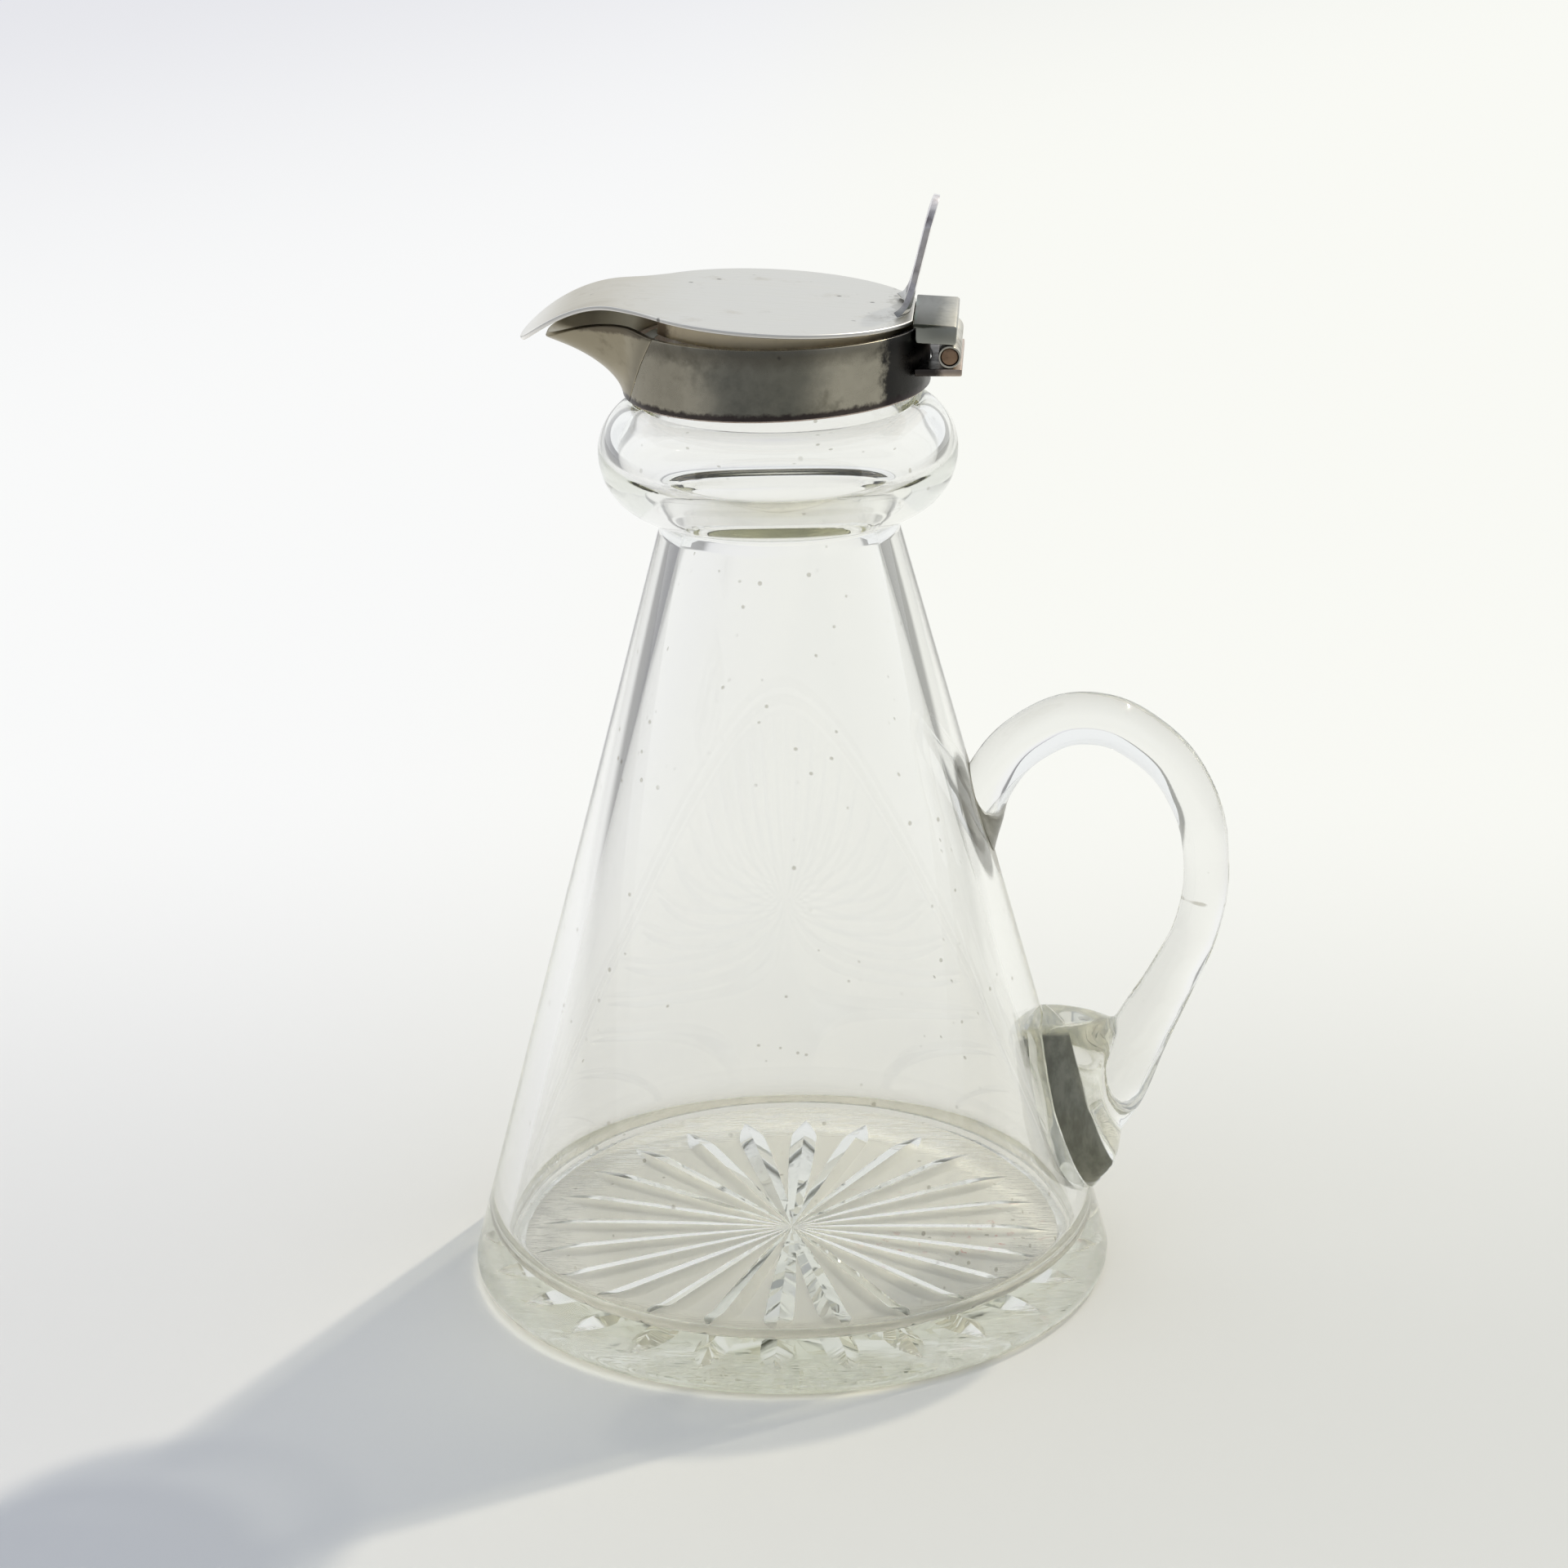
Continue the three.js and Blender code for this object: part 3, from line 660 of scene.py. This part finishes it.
pad_back = (axis_x + 25 * mm, 0, 0)
bpy.ops.transform.resize(value=(0, 1, 1), center_override=pad_back)
bpy.ops.mesh.select_all(action="SELECT")
bpy.ops.mesh.normals_make_consistent(inside=False)
settle(pad)

cone = begin(
    bpy.ops.mesh.primitive_cone_add,
    "cone_blank",
    vertices=glass_steps,
    radius1=foot_radius + glass_joint + (foot_radius - cone_radius(foot_edge * 2)),
    radius2=pinch_radius + glass_joint,
    depth=pinch_height,
    location=(axis_x, 0, pinch_height / 2),
)
settle(cone)
glass_handle = settle(
    rod,
    ("BOOLEAN", {"object": pad, "operation": "UNION", "solver": "EXACT"}),
    ("REMESH", {"mode": "VOXEL", "voxel_size": handle_grain}),
    ("SMOOTH", {"factor": 0.5, "iterations": 14}),
    ("BOOLEAN", {"object": cone, "operation": "DIFFERENCE", "solver": "EXACT"}),
    smooth=40,
)
bpy.data.objects.remove(pad)
bpy.data.objects.remove(cone)

wear(glass_handle, clear_glass("handle_glass", joined=True))
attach(glass_handle, "vessel")
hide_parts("glass_handle")


# Collar: a strip of silver bent round the glass neck and soldered to the pouring lip. It is
# It is bedded in plaster, worn, and tarnished darkest along its lower edge. It carries painted
# shade beside the hinge and under the lid, and a painted dark reflection in its middle and on its
# left side.
collar_radius = 16.75 * mm
collar_wall = 0.6 * mm
collar_height = 7.55 * mm
collar_slant = math.radians(1.6)
collar_rounding = 0.1 * mm
rim_above_neck = 2.7 * mm
rim_height = neck_top + rim_above_neck
collar_bottom = rim_height - collar_height
lip_top_angle = math.radians(42)
lip_foot_angle = math.radians(22)


def lower_edge(x):
    """Height of the collar's lower edge, which sits a little askew."""
    return collar_bottom + x * math.tan(collar_slant)


def seam_angle(up):
    return lip_foot_angle + (lip_top_angle - lip_foot_angle) * up


def formed_strip(name, columns, rows, place, thickness, rounding, smooth=35):
    """Forms a flat strip to a shape, gives it its thickness inwards, and rounds its edges."""
    strip = begin(
        bpy.ops.mesh.primitive_grid_add,
        name,
        x_subdivisions=columns,
        y_subdivisions=rows,
        size=2,
    )
    bpy.ops.object.mode_set(mode="OBJECT")
    for vertex in strip.data.vertices:
        x, y, z = place((vertex.co.x + 1) / 2, (vertex.co.y + 1) / 2)
        vertex.co = (axis_x + x, y, z)
    strip.data.update()
    middle = strip.data.polygons[len(strip.data.polygons) // 2 + columns // 2]
    outwards = middle.center - Vector((axis_x, 0, middle.center.z))
    if middle.normal.dot(outwards) < 0:
        strip.data.flip_normals()
    return settle(
        strip,
        ("SOLIDIFY", {"thickness": thickness, "offset": -1.0}),
        ("BEVEL", {"width": rounding, "segments": 3, "angle_limit": math.radians(50)}),
        smooth=smooth,
    )


def band_place(turn, up):
    seam = seam_angle(up)
    angle = seam + (2 * math.pi - 2 * seam) * turn
    x = -collar_radius * math.cos(angle)
    foot = lower_edge(x)
    return x, collar_radius * math.sin(angle), foot + (rim_height - foot) * up


collar = formed_strip("collar_band_fine", 160, 8, band_place, collar_wall, collar_rounding)

scratch_depth = 0.004 * mm
pit_depth = 0.02 * mm
dent_depth = 0.03 * mm


def silver(name, light, dark, tarnish, roughness, stain_and_painted_light=None, grain=(1, 1, 1)):
    """Worn silver: cloudy tarnish, fine scratches and small pits.

    tarnish is how much of the surface the dark clouds cover. The stain function adds darker or
    brighter parts, both stains and painted light and shade, by the distance from the jug's axis
    towards the handle and by the height, in millimetres.
    """
    metal = Finish(bpy.data.materials.new(name))
    place = metal.place()
    clouds = metal.noise(place, 150, 4.0, 0.6)
    fine = metal.noise(place, 900, 3.0, 0.7)
    cover = (clouds + fine * 0.25 - 0.125).between(0.72 - tarnish * 0.5, 0.95 - tarnish * 0.5)
    colour = metal.mix(cover, light, dark)
    if stain_and_painted_light:
        x, y, z = metal.parts(place)
        colour = stain_and_painted_light(metal, colour, (x - axis_x) / mm, z / mm, clouds, fine)
    scratches = metal.noise(metal.stretched(place, grain), 700, 2.0, 0.6)
    pits = (1 - metal.grains(place, 420.0).between(0.06, 0.16)) * clouds.between(0.52, 0.6)
    height = scratches * scratch_depth - pits * pit_depth + clouds * dent_depth
    shade = metal.mix(pits * 0.7, colour, (0.05, 0.045, 0.04, 1))
    body = metal.node(
        "ShaderNodeBsdfPrincipled",
        {
            "Base Color": shade,
            "Metallic": 1.0,
            "Roughness": roughness + cover * 0.12 + scratches.between(0.4, 0.8) * 0.08,
            "Normal": metal.bump(height),
        },
    )
    return metal.end(body)


silver_light = (0.66, 0.615, 0.50, 1)
silver_dark = (0.32, 0.295, 0.23, 1)


def dark_edge(metal, colour, x, z, fine):
    """The nearly black line along the lower edge."""
    foot = z - collar_bottom / mm - x * math.tan(collar_slant)
    edge = 1 - (foot + fine - 0.5).between(0.4, 0.9)
    return metal.mix(edge * 0.93, colour, (0.04, 0.03, 0.032, 1))


def collar_stain_and_painted_light(metal, colour, x, z, clouds, fine):
    """Darker parts of the collar: tarnish along its lower edge, a painted dark reflection in its
    middle and on its left side, and painted shade under the lid and round the hinge.
    """
    wobble = (clouds - 0.5) * 7
    # painted reflection: a dark blurred patch in the middle of the collar
    middle = 1 - (x + wobble + 0.5).size().between(3.5, 8.5)
    # painted reflection: the left side painted darker
    left = 1 - (x + wobble * 0.6).between(-11.5, -4.0)
    # painted shadow of the lid along the top
    top = (z - rim_height / mm + (fine - 0.5) * 1.2 + (clouds - 0.5) * 3).between(-2.6, -0.8)
    # painted shade beside the hinge
    hinge = (x + (fine - 0.5) * 2.5 + (clouds - 0.5) * 3).between(11.4, 12.8)
    colour = metal.mix(left * 0.25, colour, (0.22, 0.19, 0.115, 1))
    colour = metal.mix(middle * 0.76, colour, (0.14, 0.145, 0.13, 1))
    colour = metal.mix(top * 0.55, colour, (0.13, 0.115, 0.09, 1))
    colour = metal.mix(hinge * 0.95, colour, (0.03, 0.03, 0.032, 1))
    return dark_edge(metal, colour, x, z, fine)


collar_silver = silver("collar_silver", silver_light, silver_dark, 0.45, 0.27, collar_stain_and_painted_light)
wear(collar, collar_silver)
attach(collar, "vessel")
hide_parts("collar_band")


# Pouring lip: a second piece of sheet, raised to a pointed spout and soldered to the collar
# along two slanted seams. Its rim rises to a shoulder and then dips to the tip.
lip_reach = 25.1 * mm
lip_drop = 1.8 * mm
lip_rise = 0.6 * mm
lip_shoulder = 16 * mm
lip_seam_arm = 9.5 * mm
lip_keel_arm = 6.5 * mm


def ease(share):
    share = min(1, max(0, share))
    return share * share * (3 - 2 * share)


def lip_rim(distance):
    """Height of the lip's rim at a distance from the jug's axis."""
    start = collar_radius * math.cos(lip_top_angle)
    if distance < lip_shoulder:
        return rim_height + lip_rise * ease((distance - start) / (lip_shoulder - start))
    past = (distance - lip_shoulder) / (lip_reach - lip_shoulder)
    return rim_height + lip_rise - (lip_rise + lip_drop) * past**2


def bezier(points, share):
    """Point on a cubic curve."""
    rest = 1 - share
    weights = (rest**3, 3 * rest**2 * share, 3 * rest * share**2, share**3)
    return [sum(w * p[i] for w, p in zip(weights, points)) for i in range(2)]


def lip_place(turn, up):
    side = 2 * turn - 1
    seam = seam_angle(up)
    flare = up**1.5 * (1 + 0.75 * up * (1 - up))
    keel = collar_radius + (lip_reach - collar_radius) * flare
    circle_arm = collar_radius * 4 / 3 * math.tan(seam / 4)
    seam_arm = circle_arm + (lip_seam_arm - circle_arm) * flare
    keel_arm = circle_arm + (lip_keel_arm - circle_arm) * flare
    root = (collar_radius * math.cos(seam), collar_radius * math.sin(seam))
    plan = (
        root,
        (root[0] + seam_arm * math.sin(seam), root[1] - seam_arm * math.cos(seam)),
        (keel, keel_arm),
        (keel, 0),
    )
    reach, half_width = bezier(plan, 1 - abs(side))
    foot = lower_edge(-reach)
    return -reach, math.copysign(half_width, side), foot + (lip_rim(reach) - foot) * up


lip = formed_strip("pouring_lip_fine", 64, 24, lip_place, collar_wall, collar_rounding)


def lip_stain(metal, colour, x, z, clouds, fine):
    """The lip is browner, with a dark rim and a worn seam, and brighter on its inside."""
    y = metal.parts(metal.place())[1] / mm
    facing = metal.facing()
    inside = 1 - (facing[0] * x + facing[1] * y).between(-6, -1)
    colour = metal.mix(inside, colour, (0.64, 0.605, 0.52, 1))
    rim = (z - rim_height / mm + 1.0 + (fine - 0.5) * 0.8).between(0.55, 1.0)
    seam = (x + (z - collar_bottom / mm) * 0.1 + (fine - 0.5) * 1.2).between(-15.4, -14.6)
    colour = metal.mix(seam * 0.25, colour, (0.56, 0.52, 0.42, 1))
    colour = metal.mix(rim * 0.7, colour, (0.07, 0.055, 0.04, 1))
    return dark_edge(metal, colour, x, z, fine)


lip_light = (0.34, 0.30, 0.215, 1)
lip_dark = (0.18, 0.155, 0.105, 1)
wear(lip, silver("lip_silver", lip_light, lip_dark, 0.42, 0.30, lip_stain))
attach(lip, "vessel")
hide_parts("pouring_lip")


# Plaster: it holds the collar on the neck. A thin reddish line of it shows under the
# collar's lower edge, where it was wiped off.
plaster_pink = (0.62, 0.47, 0.38, 1)
plaster_pale = (0.8, 0.7, 0.6, 1)
plaster = Finish(bpy.data.materials.new("neck_plaster"))
crumbs = plaster.noise(plaster.place(), 800, 4.0, 0.7)
plaster.end(
    plaster.node(
        "ShaderNodeBsdfPrincipled",
        {
            "Base Color": plaster.mix(crumbs.between(0.35, 0.7), plaster_pink, plaster_pale),
            "Roughness": 0.9,
            "Normal": plaster.bump(crumbs * 0.05 * mm),
        },
    )
)
wear(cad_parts["neck_plaster"], plaster.owner)

bead_radius = 0.17 * mm
bead_ring = collar_radius - collar_wall * 0.55
bead_sink = 0.02 * mm
bead = begin(
    bpy.ops.mesh.primitive_torus_add,
    "plaster_bead",
    location=(axis_x, 0, collar_bottom),
    major_segments=192,
    minor_segments=10,
    major_radius=bead_ring,
    minor_radius=bead_radius,
)
settle(bead, smooth=180)
for vertex in bead.data.vertices:
    vertex.co.z += lower_edge(vertex.co.x - axis_x) - collar_bottom - bead_sink
wear(bead, plaster.owner)
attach(bead, "vessel")


# Hinge leaf: a bracket of thick sheet, soldered to the collar, that carries the two outer
# knuckles. Its underside is worn pink where the copper in the solder shows.
def bevelled_copy(node, name, rounding):
    """A copy of a plain solid with its flat faces joined and its edges rounded."""
    piece = bpy.data.objects.new(name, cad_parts[node].data.copy())
    bpy.context.scene.collection.objects.link(piece)
    deselect()
    piece.select_set(True)
    bpy.context.view_layer.objects.active = piece
    bpy.ops.object.mode_set(mode="EDIT")
    bpy.ops.mesh.select_all(action="SELECT")
    bpy.ops.mesh.remove_doubles(threshold=0.001 * mm)
    bpy.ops.mesh.dissolve_limited(angle_limit=math.radians(2))
    bpy.ops.object.mode_set(mode="OBJECT")
    corners = {"width": rounding, "segments": 3, "angle_limit": math.radians(30)}
    return settle(piece, ("BEVEL", corners), smooth=40)


leaf_rounding = 0.15 * mm
leaf = bevelled_copy("collar_hinge_leaf", "hinge_leaf_fine", leaf_rounding)


def leaf_stain_and_painted_shade(metal, colour, x, z, clouds, fine):
    """The leaf is tinted pink all over, and painted shade makes it black in the corner by the
    collar.
    """
    # painted shade: nearly black in the corner by the collar
    corner = 1 - (x + (fine - 0.5) * 2).between(17.4, 18.6)
    colour = metal.mix(0.5, colour, (0.40, 0.27, 0.25, 1))
    return metal.mix(corner * 0.92, colour, (0.03, 0.028, 0.028, 1))


wear(leaf, silver("leaf_silver", silver_light, silver_dark, 0.5, 0.33, leaf_stain_and_painted_shade))
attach(leaf, "vessel")
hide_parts("collar_hinge_leaf")


# Knuckles: three lengths of silver tube in line, with their ends filed flat and their edges
# softened by wear. These two are soldered to the leaf, and the middle one is on the lid.
knuckle_radius = 1.2 * mm
knuckle_rounding = 0.07 * mm
pin_clearance = 0.08 * mm
pin_low, pin_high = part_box("hinge_pin")
pin_middle = (pin_low + pin_high) / 2
pin_radius = (pin_high.z - pin_low.z) / 2
knuckle_wall = knuckle_radius - pin_radius - pin_clearance


def tube(name, low, high):
    """A tube round the pin's axis, between two places along it."""
    piece = begin(
        bpy.ops.mesh.primitive_cylinder_add,
        name,
        vertices=64,
        radius=knuckle_radius,
        depth=high - low,
        rotation=(math.pi / 2, 0, 0),
        location=(pin_middle.x, (low + high) / 2, pin_middle.z),
    )
    bpy.ops.mesh.select_mode(type="FACE")
    bpy.ops.mesh.select_all(action="DESELECT")
    shape = bmesh.from_edit_mesh(piece.data)
    for face in shape.faces:
        face.select_set(len(face.verts) > 4)
    bpy.ops.mesh.inset(thickness=knuckle_wall)
    bpy.ops.mesh.bridge_edge_loops()
    corners = {"width": knuckle_rounding, "segments": 3, "angle_limit": math.radians(50)}
    return settle(piece, ("BEVEL", corners), smooth=40)


knuckle_light = (0.62, 0.60, 0.53, 1)
knuckle_dark = (0.27, 0.25, 0.20, 1)
knuckle_silver = silver(
    "knuckle_silver", knuckle_light, knuckle_dark, 0.45, 0.3, grain=(1, 0.2, 1)
)
for node in ("collar_knuckle_near", "collar_knuckle_far"):
    low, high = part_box(node)
    knuckle = tube(node + "_fine", low.y, high.y)
    wear(knuckle, knuckle_silver)
    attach(knuckle, "vessel")
    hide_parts(node)


# Hinge pin: a drawn copper wire, pushed through the three knuckles, peened over a little at
# both ends and worn brown. It stays still when the lid turns.
pin_rounding = 0.12 * mm
pin_light = (0.36, 0.24, 0.16, 1)
pin_dark = (0.16, 0.11, 0.075, 1)
pin = begin(
    bpy.ops.mesh.primitive_cylinder_add,
    "hinge_pin_fine",
    vertices=48,
    radius=pin_radius,
    depth=pin_high.y - pin_low.y,
    rotation=(math.pi / 2, 0, 0),
    location=pin_middle,
)
settle(
    pin,
    ("BEVEL", {"width": pin_rounding, "segments": 4, "angle_limit": math.radians(50)}),
    smooth=40,
)
copper = Finish(bpy.data.materials.new("pin_copper"))
place = copper.place()
lines = copper.noise(copper.stretched(place, (1, 1, 0.25)), 2600, 2.0, 0.6)
clouds = copper.noise(place, 900, 2.0, 0.5)
copper.end(
    copper.node(
        "ShaderNodeBsdfPrincipled",
        {
            "Base Color": copper.mix(clouds.between(0.35, 0.65), pin_light, pin_dark),
            "Metallic": 1.0,
            "Roughness": 0.35 + lines * 0.25,
            "Normal": copper.bump(lines * 0.02 * mm),
        },
    )
)
wear(pin, copper.owner)
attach(pin, "vessel")
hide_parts("hinge_pin")


# Lid knuckle: the middle tube of the hinge. It is soldered under the hinge block and turns
# with the lid round the pin.
low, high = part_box("lid_knuckle")
lid_knuckle = tube("lid_knuckle_fine", low.y, high.y)
wear(lid_knuckle, knuckle_silver)
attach(lid_knuckle, "lid")
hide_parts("lid_knuckle")


# Hinge block: a bar soldered to the back of the lid, with its edges worn round. Its top has a
# dark olive patina that is rubbed bright at the outer end.
block_rounding = 0.16 * mm
block = bevelled_copy("lid_hinge_block", "lid_hinge_block_fine", block_rounding)


def block_stain(metal, colour, x, z, clouds, fine):
    """Dark on top and in front, rubbed bright at the outer end."""
    outer = (x + (fine - 0.5) * 1.2 + (clouds - 0.5) * 1.5).between(17.0, 20.6)
    colour = metal.mix((1 - outer) * 0.95, colour, (0.036, 0.04, 0.029, 1))
    front = 1 - (z - rim_height / mm + (fine - 0.5) * 0.3).between(0.25, 0.5)
    colour = metal.mix(front * 0.8, colour, (0.38, 0.39, 0.36, 1))
    green = (1 - (x + (clouds - 0.5) * 1.5).between(15.2, 15.7)) * clouds.between(0.45, 0.6)
    return metal.mix(green * 0.7, colour, (0.14, 0.24, 0.20, 1))


block_light = (0.66, 0.63, 0.54, 1)
block_silver = silver(
    "block_silver", block_light, silver_dark, 0.3, 0.3, block_stain, (1, 0.15, 1)
)
wear(block, block_silver)
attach(block, "lid")
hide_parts("lid_hinge_block")


# Lid plate: a flat disc of sheet silver drawn out into a beak, which bends down over the lip.
# It stands a little ajar. Its top is satin with fine scratches; its edge is brightened by a painted
# highlight and its beak darkened by painted shade.
lid_ajar = math.radians(3.6)
lid_gap = 0.05 * mm
lid_underside = rim_height + lid_gap
lid_thickness = 0.5 * mm
lid_radius = 16.3 * mm
lid_setback = 0.5 * mm
lid_rounding = 0.14 * mm
back_to_pin = 4.2 * mm
lid_back = pin_middle.x - axis_x - back_to_pin
beak_reach = 27.5 * mm
beak_root = math.radians(44)
beak_root_arm = 11.8 * mm
beak_tip_arm = 10 * mm
beak_bend = 17 * mm
beak_drop = 5.15 * mm
disc_steps = 60
beak_steps = 40

opening = (
    Matrix.Translation(pin_middle)
    @ Matrix.Rotation(lid_ajar, 4, "Y")
    @ Matrix.Translation(-pin_middle)
)
back_angle = math.acos((lid_back + lid_setback) / lid_radius)
half_outline = []
for i in range(disc_steps + 1):
    angle = back_angle + (math.pi - beak_root - back_angle) * i / disc_steps
    half_outline.append((-lid_setback + lid_radius * math.cos(angle), lid_radius * math.sin(angle)))
root_x, root_y = half_outline[-1]
beak_plan = (
    (root_x, root_y),
    (root_x - beak_root_arm * math.sin(beak_root), root_y - beak_root_arm * math.cos(beak_root)),
    (-beak_reach, beak_tip_arm),
    (-beak_reach, 0),
)
half_outline += [tuple(bezier(beak_plan, i / beak_steps)) for i in range(1, beak_steps + 1)]
outline = half_outline + [(x, -y) for x, y in half_outline[-2::-1]]

lid = begin(
    bpy.ops.mesh.primitive_circle_add,
    "lid_plate_fine",
    vertices=len(outline),
    radius=lid_radius,
    fill_type="NOTHING",
)
bpy.ops.object.mode_set(mode="OBJECT")
for vertex, (x, y) in zip(lid.data.vertices, outline):
    vertex.co = (axis_x + x, y, lid_underside)
bpy.ops.object.mode_set(mode="EDIT")
bpy.ops.mesh.select_all(action="SELECT")
lid_middle = (axis_x - lid_setback, 0, lid_underside)
scale = 1.0
for smaller in (0.96, 0.92, 0.88, 0.84, 0.8, 0.76, 0.72, 0.68, 0.6, 0.5, 0.35, 0.2):
    bpy.ops.mesh.extrude_edges_move()
    shrink = (smaller / scale, smaller / scale, 1)
    bpy.ops.transform.resize(value=shrink, center_override=lid_middle)
    scale = smaller
bpy.ops.mesh.edge_face_add()
bpy.ops.mesh.select_all(action="SELECT")
bpy.ops.mesh.normals_make_consistent(inside=False)
bpy.ops.object.mode_set(mode="OBJECT")
for vertex in lid.data.vertices:
    past = max(0, (axis_x - vertex.co.x - beak_bend) / (beak_reach - beak_bend))
    vertex.co.z -= beak_drop * past**2
lid.data.update()
if lid.data.polygons[-1].normal.z < 0:
    lid.data.flip_normals()
settle(
    lid,
    ("SOLIDIFY", {"thickness": lid_thickness, "offset": 1.0}),
    ("BEVEL", {"width": lid_rounding, "segments": 4, "angle_limit": math.radians(50)}),
    smooth=40,
)
lid.data.transform(opening)


def lid_stain_and_painted_light(metal, colour, x, z, clouds, fine):
    """Painted shade makes the beak warmer and duller where it bends down, a painted highlight
    brightens the edge and other tilted faces, and solder shows by the thumbpiece.
    """
    level = metal.facing()[2]
    # painted shade: the beak is painted warmer and darker where it bends down
    beak = 1 - (x + (clouds - 0.5) * 10).between(-22, -8)
    colour = metal.mix(beak * 0.7, colour, (0.50, 0.455, 0.36, 1))
    solder = (x + (fine - 0.5) * 5 + (clouds - 0.5) * 3).between(12.2, 13.4)
    colour = metal.mix(solder * 0.55, colour, (0.33, 0.32, 0.29, 1))
    # painted highlight: faces that tilt away from level, mostly the rounded edge, are painted near
    # white
    edge = 1 - level.size().between(0.75, 0.95)
    return metal.mix(edge, colour, (0.94, 0.92, 0.88, 1))


lid_light = (0.63, 0.625, 0.60, 1)
lid_dark = (0.52, 0.505, 0.475, 1)
lid_silver = silver("lid_silver", lid_light, lid_dark, 0.3, 0.34, lid_stain_and_painted_light, (0.25, 2.5, 1))
wear(lid, lid_silver)
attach(lid, "lid")
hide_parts("lid_plate")


# Bezel: a low strip soldered under the lid, which drops into the collar. It is open towards
# the lip, and still pale where the air doesn't reach it.
bezel_room = 1.35 * mm
bezel_radius = collar_radius - collar_wall - bezel_room
bezel_wall = 0.5 * mm
bezel_height = 2 * mm
bezel_mouth = math.radians(34)
bezel_rounding = 0.08 * mm


def bezel_place(turn, up):
    angle = bezel_mouth + (2 * math.pi - 2 * bezel_mouth) * turn
    height = lid_underside - lid_gap - bezel_height * (1 - up)
    return -bezel_radius * math.cos(angle), bezel_radius * math.sin(angle), height


bezel = formed_strip("lid_bezel_fine", 160, 4, bezel_place, bezel_wall, bezel_rounding)
bezel.data.transform(opening)


def bezel_stain(metal, colour, x, z, clouds, fine):
    """A brown spot at the strip's front end."""
    end = 1 - (x + (fine - 0.5) * 1.5).between(-11.2, -10.2)
    return metal.mix(end * 0.8, colour, (0.12, 0.07, 0.045, 1))


bezel_light = (0.86, 0.74, 0.53, 1)
bezel_dark = (0.62, 0.5, 0.33, 1)
wear(bezel, silver("bezel_silver", bezel_light, bezel_dark, 0.3, 0.4, bezel_stain))
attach(bezel, "lid")
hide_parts("lid_bezel")


# Thumbpiece: a thin upright plate, hollowed towards the lip and splayed at its foot, where it
# is soldered to the back edge of the lid. Its top and edges are burnished by use.
thumb_height = 12.4 * mm
thumb_lean = math.radians(10.8)
thumb_half_width = 3.2 * mm
thumb_foot_half_width = 5.1 * mm
thumb_hollow = 26 * mm
thumb_foot_hollow = 9.5 * mm
thumb_splay = 3.6 * mm
thumb_thickness = 0.65 * mm
thumb_inset = 0.3 * mm
thumb_rounding = 0.2 * mm


def thumb_place(turn, up):
    height = up * thumb_height
    round_from = thumb_height - thumb_half_width
    splay = max(0, 1 - height / thumb_splay) ** 2
    past = max(0, (height - round_from) / thumb_half_width)
    half_width = thumb_half_width + (thumb_foot_half_width - thumb_half_width) * splay
    side = (2 * turn - 1) * half_width * math.sqrt(1 - 0.98 * past**2)
    hollow = side**2 / 2 / (thumb_hollow + (thumb_foot_hollow - thumb_hollow) * splay)
    reach = lid_back - thumb_inset + math.tan(thumb_lean) * height - hollow
    return reach, side, lid_underside + lid_thickness + lid_gap + height


thumb = formed_strip(
    "thumbpiece_fine", 20, 44, thumb_place, thumb_thickness, thumb_rounding, smooth=60
)
thumb.data.transform(opening)


def thumb_verdigris_and_painted_shade(metal, colour, x, z, clouds, fine):
    """Dark and a little green at the foot, partly verdigris on the solder and partly painted shade
    where the foot meets the lid.
    """
    # partly verdigris on the solder, partly painted shade where the foot meets the lid
    foot = 1 - (z - rim_height / mm + (fine - 0.5) * 1.6).between(1.4, 3.4)
    return metal.mix(foot * 0.6, colour, (0.17, 0.19, 0.17, 1))


thumb_light = (0.88, 0.85, 0.86, 1)
thumb_dark = (0.34, 0.30, 0.31, 1)
wear(thumb, silver("thumb_silver", thumb_light, thumb_dark, 0.4, 0.16, thumb_verdigris_and_painted_shade))
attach(thumb, "lid")
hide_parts("thumbpiece")
